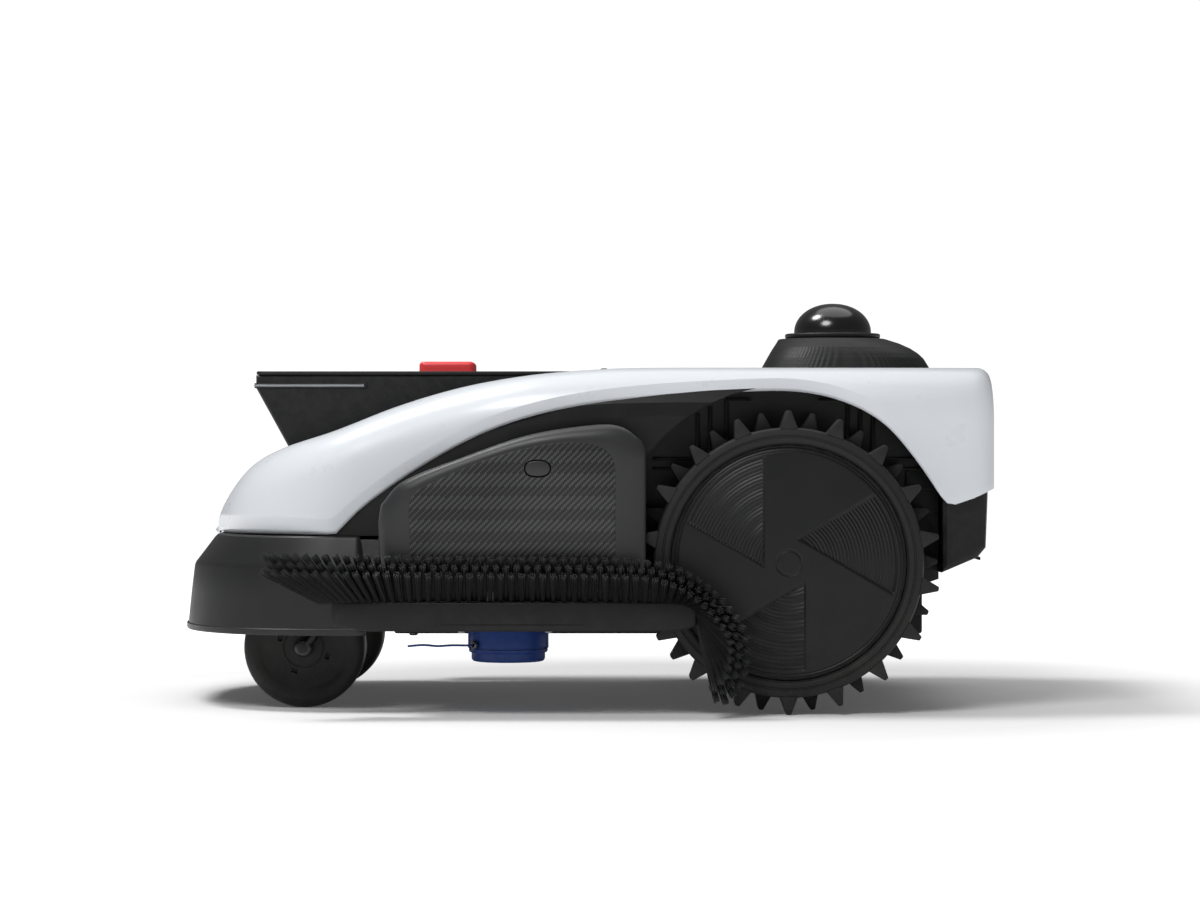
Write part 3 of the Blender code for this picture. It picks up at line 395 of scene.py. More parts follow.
SOFT_SHINE = {"Specular_IOR_Level": 0.30}
FINISH = {
    "shell": plastic("white_shell_paint", (0.700, 0.730, 0.768), 0.30, 700.0, 0.000012, 0.0,
                     (0.82, 0.84, 0.87, 1.0), 0.0, 0.01, Coat_Weight=0.25, Coat_Roughness=0.15),
    "black": plastic("black_moulding", (0.0058, 0.0059, 0.0063), 0.46, 1100.0, dust=0.05, **SOFT_SHINE),
    "deep": plastic("well_moulding", (0.0070, 0.0071, 0.0075), 0.60, 900.0, 0.00006, dust=0.05,
                    **SOFT_SHINE),
    "console": plastic("console_moulding", (0.0062, 0.0064, 0.0069), 0.40, 1300.0, 0.00002, 0.2, dust=0.04,
                       **SOFT_SHINE),
    "bumper": plastic("bumper_moulding", (0.0135, 0.0138, 0.0146), 0.42, 1200.0, 0.00003, 0.25, dust=0.04,
                      Specular_IOR_Level=0.40),
    "pod": plastic("pod_moulding", (0.0270, 0.0275, 0.0285), 0.38, 1300.0, 0.00002, 0.2, dust=0.04,
                   Specular_IOR_Level=0.40),
    "cap": plastic("wheel_cap_moulding", (0.0066, 0.0068, 0.0071), 0.42, 900.0, 0.00003, 0.3, dust=0.04,
                   **SOFT_SHINE),
    "rubber": plastic("tyre_rubber_compound", (0.0145, 0.0145, 0.0150), 0.62, 600.0, 0.00008, 0.25,
                      (0.04, 0.04, 0.04, 1.0), 0.07, 0.25, **SOFT_SHINE),
    "caster": plastic("caster_tread", (0.0088, 0.0088, 0.0092), 0.52, 700.0, 0.00005, 0.3, None, 0.06,
                      **SOFT_SHINE),
    "hump": plastic("turret_moulding", (0.0150, 0.0153, 0.0160), 0.48, 1100.0, 0.00003, 0.2, dust=0.03,
                    **SOFT_SHINE),
    "blue": plastic("trimmer_blue", (0.0065, 0.0370, 0.2000), 0.42, 900.0, 0.00003, 0.3,
                    (0.06, 0.12, 0.34, 1.0), 0.05, Specular_IOR_Level=0.30),
    # The stop button's sharp edges turn a pale pinkish red through the edge mask: painted highlight on its
    # rims.
    "red": plastic("stop_red", (0.98, 0.060, 0.066), 0.36, 800.0, 0.00003, 0.2,
                   (0.90, 0.30, 0.28, 1.0), 0.03, 0.04),
    "bristle": bristle_finish(),
    "light": plastic("light_strip_resin", (0.22, 0.23, 0.24), 0.30, 700.0, 0.00001, 0.1, None, 0.03),
    "twill": twill_finish(),
    "steel": metal("brushed_steel", (0.52, 0.53, 0.55), 0.32),
    "coated_steel": metal("coated_steel", (0.030, 0.031, 0.033), 0.42),
    "dark_steel": metal("blackened_steel", (0.085, 0.086, 0.090), 0.38),
    "brass": metal("contact_plating", (0.72, 0.48, 0.22), 0.28, 90.0),
    "glass": polished("dome_resin", (0.0040, 0.0041, 0.0046), 0.16),
    "board": board_finish(),
}


# ------------------------------------------------------------ mesh helpers

def finish_piece(name, bm, finish, body, slot, replaces=(), smooth_angle=32.0, recalc=True):
    """A finished mesh as a named piece that rides on a body and may stand for CAD nodes."""
    bmesh.ops.remove_doubles(bm, verts=bm.verts, dist=1e-6)
    if recalc:
        bmesh.ops.recalc_face_normals(bm, faces=bm.faces)
    mesh = bpy.data.meshes.new(name)
    bm.to_mesh(mesh)
    bm.free()
    mesh.shade_smooth()
    mesh.set_sharp_from_angle(angle=math.radians(smooth_angle))
    piece = bpy.data.objects.new(name, mesh)
    bpy.context.scene.collection.objects.link(piece)
    piece.data.materials.append(FINISH[finish])
    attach(piece, body)
    if replaces:
        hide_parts(*replaces)
    return piece


def bevel_edges(bm, edges, width, segments=3):
    bmesh.ops.bevel(bm, geom=list(edges), offset=width, segments=segments, profile=0.5,
                    affect="EDGES", clamp_overlap=True, material=-1)


def block(low, high, bevel=0.0, segments=3):
    low, high = Vector(low), Vector(high)
    bm = bmesh.new()
    bmesh.ops.create_cube(bm, size=1.0)
    size = high - low
    bmesh.ops.scale(bm, vec=[abs(side) for side in size], verts=bm.verts)
    bmesh.ops.translate(bm, vec=(low + high) / 2, verts=bm.verts)
    if bevel:
        bevel_edges(bm, bm.edges, bevel, segments)
    return bm


def swung(bm, turn, axis, at):
    """The shape turned about an axis through its own zero, then carried to a place."""
    bmesh.ops.rotate(bm, cent=(0, 0, 0), matrix=Matrix.Rotation(turn, 3, axis), verts=bm.verts)
    bmesh.ops.translate(bm, vec=at, verts=bm.verts)
    return bm


def turned(profile, centre, axis="Z", steps=64, closed=False):
    """A (radius, height) line spun round an axis; a closed one makes a ring."""
    bm = bmesh.new()
    verts = [bm.verts.new((radius, 0.0, height)) for radius, height in profile]
    pairs = list(zip(verts, verts[1:])) + ([(verts[-1], verts[0])] if closed else [])
    edges = [bm.edges.new(pair) for pair in pairs]
    bmesh.ops.spin(bm, geom=verts + edges, cent=(0, 0, 0), axis=(0, 0, 1), angle=math.tau,
                   steps=steps, use_merge=True)
    bmesh.ops.remove_doubles(bm, verts=bm.verts, dist=1e-7)
    if axis == "Y":
        turn = Matrix.Rotation(-math.pi / 2, 3, "X")
        bmesh.ops.rotate(bm, cent=(0, 0, 0), matrix=turn, verts=bm.verts)
    bmesh.ops.translate(bm, vec=Vector(centre), verts=bm.verts)
    bmesh.ops.recalc_face_normals(bm, faces=bm.faces)
    return bm


def outline_solid(points, near, far, bevel=0.0, segments=3):
    """An (x, z) outline given as world points, extruded along Y from near to far."""
    bm = bmesh.new()
    face = bm.faces.new([bm.verts.new((x, near, z)) for x, z in points])
    made = bmesh.ops.extrude_face_region(bm, geom=[face])
    moved = [item for item in made["geom"] if isinstance(item, bmesh.types.BMVert)]
    bmesh.ops.translate(bm, vec=(0, far - near, 0), verts=moved)
    bmesh.ops.recalc_face_normals(bm, faces=bm.faces)
    if bevel:
        far_verts = set(moved)
        rims = [e for e in bm.edges if all(v in far_verts for v in e.verts)]
        bevel_edges(bm, rims, bevel, segments)
    return bm


def skin(loops, closed_loops=True, cap=False):
    """Quads between loops of equally many points, matched one to one."""
    bm = bmesh.new()
    rows = [[bm.verts.new(p) for p in loop] for loop in loops]
    for near, far in zip(rows, rows[1:]):
        ahead = range(0 if closed_loops else 1, len(near))
        for k in ahead:
            bm.faces.new((near[k - 1], near[k], far[k], far[k - 1]))
    if cap:
        bm.faces.new(rows[0])
        bm.faces.new(rows[-1][::-1])
    return bm


def merge(*parts):
    """Several bmeshes as one."""
    whole = bmesh.new()
    for part in parts:
        holder = bpy.data.meshes.new("part")
        part.to_mesh(holder)
        part.free()
        whole.from_mesh(holder)
        bpy.data.meshes.remove(holder)
    return whole


def smooth_curve(points, per_span):
    pts = [Vector(p) for p in points]
    pts = [2 * pts[0] - pts[1]] + pts + [2 * pts[-1] - pts[-2]]
    out = []
    for a, b, c, d in zip(pts, pts[1:], pts[2:], pts[3:]):
        for i in range(per_span):
            t = i / per_span
            out.append(0.5 * ((2 * b) + (c - a) * t + (2 * a - 5 * b + 4 * c - d) * t * t
                              + (3 * b - a - 3 * c + d) * t ** 3))
    out.append(pts[-2])
    return out


def value_at(curve, x):
    if x <= curve[0][0]:
        return curve[0][1]
    for a, b in zip(curve, curve[1:]):
        if x <= b[0]:
            return a[1] + (b[1] - a[1]) * (x - a[0]) / max(b[0] - a[0], 1e-9)
    return curve[-1][1]


def solidify(piece, thickness, offset=-1.0):
    modifier = piece.modifiers.new("wall", "SOLIDIFY")
    modifier.thickness = thickness
    modifier.offset = offset
    modifier.use_quality_normals = True


def to_world(points):
    """(x, z) points from the design's zero, moved to the frame's X."""
    return [(DATUM_X + p[0], p[1]) for p in points]


# ------------------------------------------------------------ the cutting line, a free cord

LINE_DIAMETER = 0.0018
LINE_PROUD = 0.0034


def cutting_line():
    low, high = corners("trimmer_head")
    centre = (low + high) / 2
    radius = (high.x - low.x) / 2
    turn = math.radians(218)
    out = Vector((math.cos(turn), math.sin(turn), 0))
    start = Vector((centre.x, centre.y, 0.0528)) + out * (radius + LINE_PROUD)
    route = [start, start + out * 0.005, start + Vector((-0.016, -0.0060, 0.0003)),
             start + Vector((-0.027, -0.0068, -0.0003)), start + Vector((-0.038, -0.0070, 0.0006)),
             start + Vector((-0.0505, -0.0065, -0.0004))]
    path = smooth_curve(route, 3)
    curve = bpy.data.curves.new("cutting_line", "CURVE")
    curve.dimensions = "3D"
    curve.bevel_depth = LINE_DIAMETER / 2
    curve.bevel_resolution = 3
    curve.use_fill_caps = True
    spline = curve.splines.new("POLY")
    spline.points.add(len(path) - 1)
    for point, at in zip(spline.points, path):
        point.co = (*at, 1.0)
    line = bpy.data.objects.new("cutting_line", curve)
    bpy.context.scene.collection.objects.link(line)
    curve.materials.append(FINISH["blue"])
    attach(line, "trimmer_head")
    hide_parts("trimmer_line")
    length = sum((b - a).length for a, b in zip(path, path[1:]))


cutting_line()


# ------------------------------------------------------------ white shell

NOSE_X, SHOULDER_X, TAIL_X = -0.321, -0.194, 0.312
NOSE_HALF, BODY_HALF = 0.172, 0.190
LIP_Z = 0.140
BAND = 0.0100
NOSE_BAND = 0.0140
TAIL_TAPER = 0.0100
BAND_LEAN, NOSE_LEAN = 0.0024, 0.0022
CORNER = 0.034
CONSOLE_HALF = 0.0900
CONSOLE_START, CONSOLE_END = -0.2500, 0.1293

TOP_LINE = smooth_curve(
    [(-0.321, 0.139), (-0.3180, 0.1520), (-0.3060, 0.1712), (-0.2835, 0.1942),
     (-0.2560, 0.2085), (-0.2122, 0.2226), (-0.1620, 0.2420), (-0.1102, 0.2570),
     (-0.0560, 0.2665), (0.0, 0.2712), (0.050, 0.2725), (0.180, 0.2725), (0.312, 0.2725)], 10)
ARCH_LINE = smooth_curve(
    [(-0.2100, 0.1400), (-0.1846, 0.1642), (-0.1420, 0.1935), (-0.0904, 0.2210),
     (-0.0350, 0.2382), (0.0300, 0.2478), (0.1126, 0.2530), (0.1577, 0.2528),
     (0.1938, 0.2443), (0.2240, 0.2270), (0.2480, 0.2000), (0.2685, 0.1704)], 8)
TAIL_EDGE = [Vector((0.2735, 0.1650)), Vector((0.2800, 0.1640)), Vector((0.2950, 0.1690)),
             Vector((0.3120, 0.1765))]
LOWER_EDGE = [Vector((-0.330, LIP_Z)), Vector((-0.2140, LIP_Z))] + ARCH_LINE + TAIL_EDGE


def offset_line(line, distance):
    """The line moved to its upper side."""
    moved = []
    for i, point in enumerate(line):
        along = (line[min(i + 1, len(line) - 1)] - line[max(i - 1, 0)]).normalized()
        moved.append(Vector((point[0] - along[1] * distance, point[1] + along[0] * distance)))
    return sorted(moved, key=lambda p: p[0])


BAND_LINE = offset_line([p for p in LOWER_EDGE if p[0] < 0.2700], BAND)


def half_width_at(x):
    if x < SHOULDER_X:
        along = min((SHOULDER_X - x) / (SHOULDER_X - NOSE_X), 1.0)
        return NOSE_HALF * math.sqrt(max(1.0 - along ** 2, 1e-7))
    swell = min((x - SHOULDER_X) / 0.15, 1.0)
    taper = TAIL_TAPER * max(0.0, (x - 0.205) / (TAIL_X - 0.205)) ** 2
    return NOSE_HALF + (BODY_HALF - NOSE_HALF) * swell * swell * (3 - 2 * swell) - taper


def ease(value, low, high):
    t = min(max((value - low) / (high - low), 0.0), 1.0)
    return t * t * (3 - 2 * t)


def nose_share(x):
    """1 on the nose, where the band runs level, down to 0 along the arch."""
    return 1.0 - min(max((x + 0.235) / 0.035, 0.0), 1.0)


def band_top(x):
    low = value_at(LOWER_EDGE, x)
    nose = nose_share(x)
    high = max(value_at(BAND_LINE, x), low + 0.004)
    if x > 0.262:
        high = low + 0.004 + 0.008 * max(0.0, 1.0 - (x - 0.262) / 0.012)
    return high * (1 - nose) + (low + NOSE_BAND) * nose


def shell_row(x, tail_drop=0.0):
    """Half a section across the shell, from its lower lip to the middle of its crown."""
    width, top = half_width_at(x), value_at(TOP_LINE, x) - tail_drop
    low = min(value_at(LOWER_EDGE, x), top - 0.0004)
    high = min(band_top(x), low + 0.75 * (top - low))
    radius = min(CORNER, 0.92 * (top - LIP_Z + 0.010), 0.92 * width)
    start = top - radius
    first_turn = math.asin(min(max((high - start) / radius, 0.0), 0.96))
    straight = max(start - high, 0.0)
    length = straight + radius * (math.pi / 2 - first_turn)

    def on_side(along):
        if along < straight:
            return width, high + along
        turn = first_turn + (along - straight) / radius
        return width - radius + radius * math.cos(turn), start + radius * math.sin(turn)

    edge = on_side(0.0)[0]
    lean = (BAND_LEAN + NOSE_LEAN * nose_share(x)) * (1.0 - 0.85 * ease(x, 0.150, 0.235))
    row = [(edge - lean * (1 - t), low + (high - low) * t) for t in (0.0, 0.25, 0.60, 0.90)]
    row += [on_side(length * t) for t in (0.0, 0.03)] + [on_side(length * k / 14) for k in range(1, 15)]
    flat = width - radius
    inner = min(CONSOLE_HALF, 0.75 * flat)
    row += [(inner + (flat - inner) * (1 - k / 3), top) for k in (1, 2, 3)]
    row += [(inner * (1 - k / 4), top) for k in (1, 2, 3, 4)]
    return row


def white_shell():
    reach = SHOULDER_X - NOSE_X
    front = [SHOULDER_X - reach * math.cos(math.pi / 2 * k / 26) for k in range(1, 26)]
    stations = [NOSE_X + 0.0003] + front + [p[0] for p in ARCH_LINE if p[0] > SHOULDER_X]
    stations += [CONSOLE_START, CONSOLE_END] + [p[0] for p in TAIL_EDGE[:3]] + [0.3030, 0.3070, 0.3095]
    stations = sorted(set(round(s, 6) for s in stations))
    loops = []
    for x in stations + [TAIL_X - 0.0010, TAIL_X - 0.0003, TAIL_X]:
        drop = 0.0
        if x > 0.302:
            drop = 0.010 * (1 - math.sqrt(max(0.0, 1 - ((x - 0.302) / 0.0100) ** 2)))
        half = shell_row(x, drop)
        pinch = 1.0 - 0.05 * max(0.0, (x - 0.296) / 0.016) ** 2
        half = [(y * pinch, z) for y, z in half]
        loops.append([place(x, -y, z) for y, z in half] + [place(x, y, z) for y, z in half[-2::-1]])
    bm = skin(loops, closed_loops=False)
    rear_x = DATUM_X + TAIL_X - 1e-5
    tail_edges = [e for e in bm.edges if all(v.co.x > rear_x for v in e.verts)]
    lips = sorted((v for v in bm.verts if v.co.x > rear_x), key=lambda v: v.co.y)
    tail_edges.append(bm.edges.new((lips[0], lips[-1])))
    bmesh.ops.contextual_create(bm, geom=tail_edges)
    doomed = [f for f in bm.faces
              if CONSOLE_START < f.calc_center_median().x - DATUM_X < CONSOLE_END
              and abs(f.calc_center_median().y - MIDDLE_Y) < CONSOLE_HALF - 0.001]
    bmesh.ops.delete(bm, geom=doomed, context="FACES")
    bmesh.ops.remove_doubles(bm, verts=bm.verts, dist=2e-5)
    bmesh.ops.dissolve_degenerate(bm, edges=bm.edges, dist=1e-5)
    bmesh.ops.recalc_face_normals(bm, faces=bm.faces)
    top = max(bm.faces, key=lambda f: f.calc_center_median().z)
    if top.normal.z < 0:
        bmesh.ops.reverse_faces(bm, faces=bm.faces)
    shell = finish_piece("shell_skin", bm, "shell", "root", WHITE, ["white_shell"], 24.0, recalc=False)
    solidify(shell, 0.0028)


white_shell()


# ------------------------------------------------------------ front bumper

BUMPER_TIP_X = -0.344
BUMPER_HALF = 0.180
BUMPER_REAR_X = -0.185
BUMPER_FULLNESS = 2.6
# Height and how far the skin stands back there: lower lip, wall, crease, top chamfer, inner shelf.
BUMPER_SKIN = ((0.0602, 0.0030), (0.0604, 0.0008), (0.0614, 0.0000), (0.0650, 0.0000), (0.0657, 0.0014),
               (0.0700, 0.0018), (0.0930, 0.0042), (0.1125, 0.0066), (0.1150, 0.0076), (0.1172, 0.0094),
               (0.1352, 0.0232), (0.1374, 0.0254), (0.1385, 0.0285), (0.1386, 0.0400))


def bumper_row(z, back, steps=72):
    reach = SHOULDER_X - BUMPER_TIP_X - back
    half = BUMPER_HALF - back * 0.4
    rear = BUMPER_REAR_X - back * 0.2
    row = [place(rear, half, z)]
    for k in range(steps + 1):
        turn = math.pi / 2 - math.pi * k / steps
        c, s = math.cos(turn), math.sin(turn)
        row.append(place(SHOULDER_X - reach * abs(c) ** (2 / BUMPER_FULLNESS),
                         half * math.copysign(abs(s) ** (2 / BUMPER_FULLNESS), s), z))
    return row + [place(rear, -half, z)]


def front_bumper():
    bm = skin([bumper_row(z, back) for z, back in BUMPER_SKIN], closed_loops=False)
    bmesh.ops.recalc_face_normals(bm, faces=bm.faces)
    nose = min(bm.faces, key=lambda f: f.calc_center_median().x)
    if nose.normal.x > 0:
        bmesh.ops.reverse_faces(bm, faces=bm.faces)
    skin_piece = finish_piece("bumper_skin", bm, "bumper", "front_bumper", BLACK, ["front_bumper"],
                              22.0, recalc=False)
    solidify(skin_piece, 0.0030)
    shelf = [p.xy for p in bumper_row(0.0, 0.0310, 48)]
    bm = bmesh.new()
    face = bm.faces.new([bm.verts.new((p.x, p.y, 0.1362)) for p in shelf])
    made = bmesh.ops.extrude_face_region(bm, geom=[face])
    bmesh.ops.translate(bm, vec=(0, 0, 0.0021),
                        verts=[g for g in made["geom"] if isinstance(g, bmesh.types.BMVert)])
    finish_piece("bumper_shelf", bm, "deep", "front_bumper", BLACK)


CHEEK_WALL = 0.0030
CHEEK_ENDS = (-0.2020, -0.1732)


def bumper_backing():
    """Fixed inner cheeks that the bumper slides over, so that no gap opens beside the pods."""
    outer = [(0.1756, 0.0640), (0.1732, 0.1125), (0.1718, 0.1172), (0.1663, 0.1360)]
    section = outer + [(y - CHEEK_WALL, z) for y, z in outer[::-1]]
    cheeks = []
    for sign in (-1, 1):
        ends = [[place(x, sign * y, z) for y, z in section] for x in CHEEK_ENDS]
        cheeks.append(skin(ends, cap=True))
    finish_piece("bumper_cheeks", merge(*cheeks), "bumper", "root", BLACK, (), 30.0)


front_bumper()
bumper_backing()


# ------------------------------------------------------------ Booleans on finished meshes

def carve(bm, *cutters):
    """The mesh with each cutter taken out of it."""
    target = temporary(bm)
    helpers = [temporary(cutter) for cutter in cutters]
    for tool in helpers:
        modifier = target.modifiers.new("cut", "BOOLEAN")
        modifier.operation = "DIFFERENCE"
        modifier.solver = "EXACT"
        modifier.object = tool
    bpy.context.view_layer.update()
    result = bmesh.new()
    shaped = target.evaluated_get(bpy.context.evaluated_depsgraph_get())
    result.from_mesh(shaped.to_mesh())
    shaped.to_mesh_clear()
    for obj in [target] + helpers:
        mesh = obj.data
        bpy.data.objects.remove(obj, do_unlink=True)
        bpy.data.meshes.remove(mesh)
    return result


def temporary(bm):
    bmesh.ops.remove_doubles(bm, verts=bm.verts, dist=1e-7)
    bmesh.ops.recalc_face_normals(bm, faces=bm.faces)
    if bm.calc_volume(signed=True) < 0:
        bmesh.ops.reverse_faces(bm, faces=bm.faces)
    mesh = bpy.data.meshes.new("shape")
    bm.to_mesh(mesh)
    bm.free()
    obj = bpy.data.objects.new("shape", mesh)
    bpy.context.scene.collection.objects.link(obj)
    return obj


def drum(centre_x, centre_z, near, far, radius, steps=96):
    """A round cutter or disc along Y, at world places."""
    low, high = sorted((near, far))
    return turned([(0, low), (radius, low), (radius, high), (0, high)], (centre_x, 0, centre_z),
                  "Y", steps)


# ------------------------------------------------------------ side pods

POD_INNER, POD_OUTER = 0.1855, 0.2222
POD_LINE = (
    [Vector((-0.1720, 0.0962)), Vector((-0.1733, 0.1500))]
    + smooth_curve([(-0.1711, 0.1640), (-0.1525, 0.1831), (-0.1065, 0.2015), (-0.0558, 0.2187),
                    (-0.0051, 0.2265), (0.0169, 0.2251), (0.0321, 0.2146)], 8)
    + [Vector((0.0359, 0.2070)), Vector((0.0359, 0.0962))]
)
INSERT_LINE = (
    [Vector((-0.1470, 0.1000)), Vector((-0.1484, 0.1640))]
    + smooth_curve([(-0.1462, 0.1715), (-0.1405, 0.1765), (-0.1065, 0.1925), (-0.0727, 0.2043),
                    (-0.0390, 0.2118), (-0.0150, 0.2130), (0.0000, 0.2096), (0.0085, 0.2025),
                    (0.0118, 0.1945)], 8)
    + [Vector((0.0121, 0.1000))]
)
OVAL_X, OVAL_Z = -0.0485, 0.1926


def oval(half_x, half_z, steps=56):
    """A stadium-like oval round the release button, as world (x, z) points."""
    points = []
    for k in range(steps):
        turn = math.tau * k / steps
        c, s = math.cos(turn), math.sin(turn)
        points.append((OVAL_X + half_x * math.copysign(abs(c) ** 0.82, c),
                       OVAL_Z + half_z * math.copysign(abs(s) ** 0.82, s)))
    return to_world(points)


def closed_outline(line, round_steps=96, foot_steps=24):
    """The line resampled evenly, then closed along its foot."""
    lengths = [0.0]
    for first, second in zip(line, line[1:]):
        lengths.append(lengths[-1] + (Vector(second) - Vector(first)).length)
    points, span = [], 0
    for k in range(round_steps + 1):
        target = lengths[-1] * k / round_steps
        while span < len(line) - 2 and lengths[span + 1] < target:
            span += 1
        share = (target - lengths[span]) / (lengths[span + 1] - lengths[span])
        points.append(Vector(line[span]).lerp(Vector(line[span + 1]), share))
    foot = [points[-1].lerp(points[0], k / foot_steps) for k in range(1, foot_steps)]
    return points + foot


def pod_loops(inner, outer, sign):
    """Loops from the pod's root, over its pillowed rim, to the seat of its panel."""
    rim, seat = closed_outline(POD_LINE), closed_outline(INSERT_LINE)
    depths = []
    for a, b in zip(rim, seat):
        rearward = ease(a.x, -0.010, 0.0300)
        depths.append((0.0035 + 0.44 * (b - a).length) * (1 - rearward) + 0.0082 * rearward)
    loops = [[(DATUM_X + p.x, inner, p.y) for p in rim]]
    for k in range(13):
        turn = math.pi / 2 * k / 12
        share, drop = 1 - math.cos(turn), 1 - math.sin(turn)
        loop = []
        for a, b, depth in zip(rim, seat, depths):
            p = a.lerp(b, share)
            loop.append((DATUM_X + p.x, outer - sign * depth * drop, p.y))
        loops.append(loop)
    middle = sum(seat, Vector((0, 0))) / len(seat)
    for back, shrink in ((0.0008, 0.0), (0.0012, 0.004)):
        loops.append([(DATUM_X + p.x, outer - sign * back, p.y)
                      for p in (q.lerp(middle, shrink) for q in seat)])
    return loops


def side_pod(side, sign):
    inner, outer = MIDDLE_Y + sign * POD_INNER, MIDDLE_Y + sign * POD_OUTER
    bm = skin(pod_loops(inner, outer, sign), cap=True)
    room = drum(WHEEL_X, WHEEL_Z, MIDDLE_Y + sign * 0.15, MIDDLE_Y + sign * 0.2128, 0.1215)
    hole = outline_solid(oval(0.0104, 0.0069), outer - sign * 0.02, outer + sign * 0.02)
    finish_piece("pod_shell_" + side, carve(bm, room, hole), "pod", "root", "graphite_plastic",
                 ["side_pod_" + side], 30.0)
    plate = outline_solid([(DATUM_X + p.x, p.y) for p in closed_outline(INSERT_LINE)],
                          outer - sign * 0.0009, outer + sign * 0.0003, 0.0005, 2)
    button_room = outline_solid(oval(0.0106, 0.0071), outer - sign * 0.02, outer + sign * 0.02)
    finish_piece("twill_panel_" + side, carve(plate, button_room), "twill", "root", "carbon_weave",
                 ["carbon_insert_" + side], 25.0)
    body = "oval_button_" + side
    button = outline_solid(oval(0.0096, 0.0061), outer - sign * 0.0030, outer + sign * 0.0006,
                           0.0010, 4)
    finish_piece("release_button_" + side, button, "pod", body, "graphite_plastic", [body], 35.0)


for side, sign in SIDES:
    side_pod(side, sign)


# ------------------------------------------------------------ drive wheels

TYRE_RADIUS, LUG_RADIUS = 0.1056, 0.1188
LUGS = 18
TYRE_HALF = 0.031
CAP_RADIUS = 0.0894
SECTOR_RADIUS = 0.0857
SECTOR_APEX = (0.0054, 0.0184)
RIDGE_PITCH = 0.0027


def lug():
    """One triangular lug: wide at the tread, narrow and a little short at its tip."""
    bm = bmesh.new()
    bmesh.ops.create_cube(bm, size=1.0)
    for v in bm.verts:
        top = v.co.z > 0
        outward = v.co.y > 0
        v.co.x *= 0.0034 if top else 0.0142
        v.co.y = (0.0285 if top else 0.0300) if outward else 0.0012
        v.co.z = LUG_RADIUS if top else TYRE_RADIUS - 0.0012
    bevel_edges(bm, bm.edges, 0.0007, 2)
    return bm


def tyre(side, sign):
    half = TYRE_HALF
    profile = [(0.0924, -half + 0.001), (0.0940, -half), (0.1010, -half), (0.1042, -half + 0.0012),
               (0.1056, -half + 0.0040), (0.1056, -0.0012), (0.1046, -0.0008), (0.1046, 0.0008),
               (0.1056, 0.0012), (0.1056, half - 0.0040), (0.1042, half - 0.0012), (0.1014, half - 0.0002),
               (0.0998, half), (0.0992, half - 0.0008), (0.0982, half - 0.0008), (0.0976, half),
               (0.0948, half), (0.0938, half - 0.0006), (0.0930, half - 0.0022), (0.0924, half - 0.0030)]
    centre = (WHEEL_X, middle_of("tyre_" + side).y, WHEEL_Z)
    parts = [turned([(r, sign * y) for r, y in profile], centre, "Y", 144, closed=True)]
    for k in range(LUGS):
        for row, phase in ((1, 0.5), (-1, 0.0)):
            one = lug()
            if sign * row < 0:
                bmesh.ops.scale(one, vec=(1, -1, 1), verts=one.verts)
                bmesh.ops.reverse_faces(one, faces=one.faces)
            turn = Matrix.Rotation(-math.tau * (k + phase) / LUGS + math.pi / 2, 3, "Y")
            bmesh.ops.rotate(one, cent=(0, 0, 0), matrix=turn, verts=one.verts)
            bmesh.ops.translate(one, vec=centre, verts=one.verts)
            parts.append(one)
    finish_piece("lugged_tyre_" + side, merge(*parts), "rubber", "drive_wheel_" + side, "tyre_rubber",
                 ["tyre_" + side], 28.0, recalc=False)


def cap_relief(x, z):
    """How deep the cap's face is cut at a point about its hub."""
    radius = math.hypot(x, z)
    depth = 0.0
    for k in range(3):
        turn = math.tau * k / 3
        u = (math.cos(turn), math.sin(turn))
        qx = x - SECTOR_APEX[0] * u[0] + SECTOR_APEX[1] * u[1]
        qz = z - SECTOR_APEX[0] * u[1] - SECTOR_APEX[1] * u[0]
        along, across = qx * u[0] + qz * u[1], -qx * u[1] + qz * u[0]
        inside = min(0.5 * along - 0.866 * across, 0.5 * along + 0.866 * across,
                     SECTOR_RADIUS - radius)
        mask = ease(inside, 0.0, 0.0018)
        ridge = 0.5 + 0.5 * math.cos(math.tau * radius / RIDGE_PITCH)
        depth = max(depth, mask * (0.0010 + 0.0006 * ridge))
    disc = ease(radius, 0.0086, 0.0094) - ease(radius, 0.0100, 0.0108)
    rim = ease(radius, 0.0866, 0.0872) - ease(radius, 0.0878, 0.0884)
    return max(depth, 0.0006 * disc, 0.0008 * rim)


def wheel_cap(side, sign):
    low, high = corners("wheel_cap_" + side)
    face = low.y if sign < 0 else high.y
    back = high.y if sign < 0 else low.y
    rings = 140
    profile = [(0, face)]
    for k in range(1, rings + 1):
        r = CAP_RADIUS * k / rings
        dome = 0.0032 * (r / CAP_RADIUS) ** 2 + 0.0010 * ease(r, 0.0880, CAP_RADIUS)
        profile.append((r, face - sign * dome))
    profile += [(CAP_RADIUS, back), (0.080, back), (0, back)]
    bm = turned(profile, (WHEEL_X, 0, WHEEL_Z), "Y", 480)
    for v in bm.verts:
        if abs(v.co.y - back) > 0.0012:
            x = v.co.x - WHEEL_X
            v.co.y -= sign * cap_relief(x, v.co.z - WHEEL_Z)
    finish_piece("ridged_cap_" + side, bm, "cap", "drive_wheel_" + side, "graphite_plastic",
                 ["wheel_cap_" + side], 40.0)


for side, sign in SIDES:
    tyre(side, sign)
    wheel_cap(side, sign)


# ------------------------------------------------------------ side brush

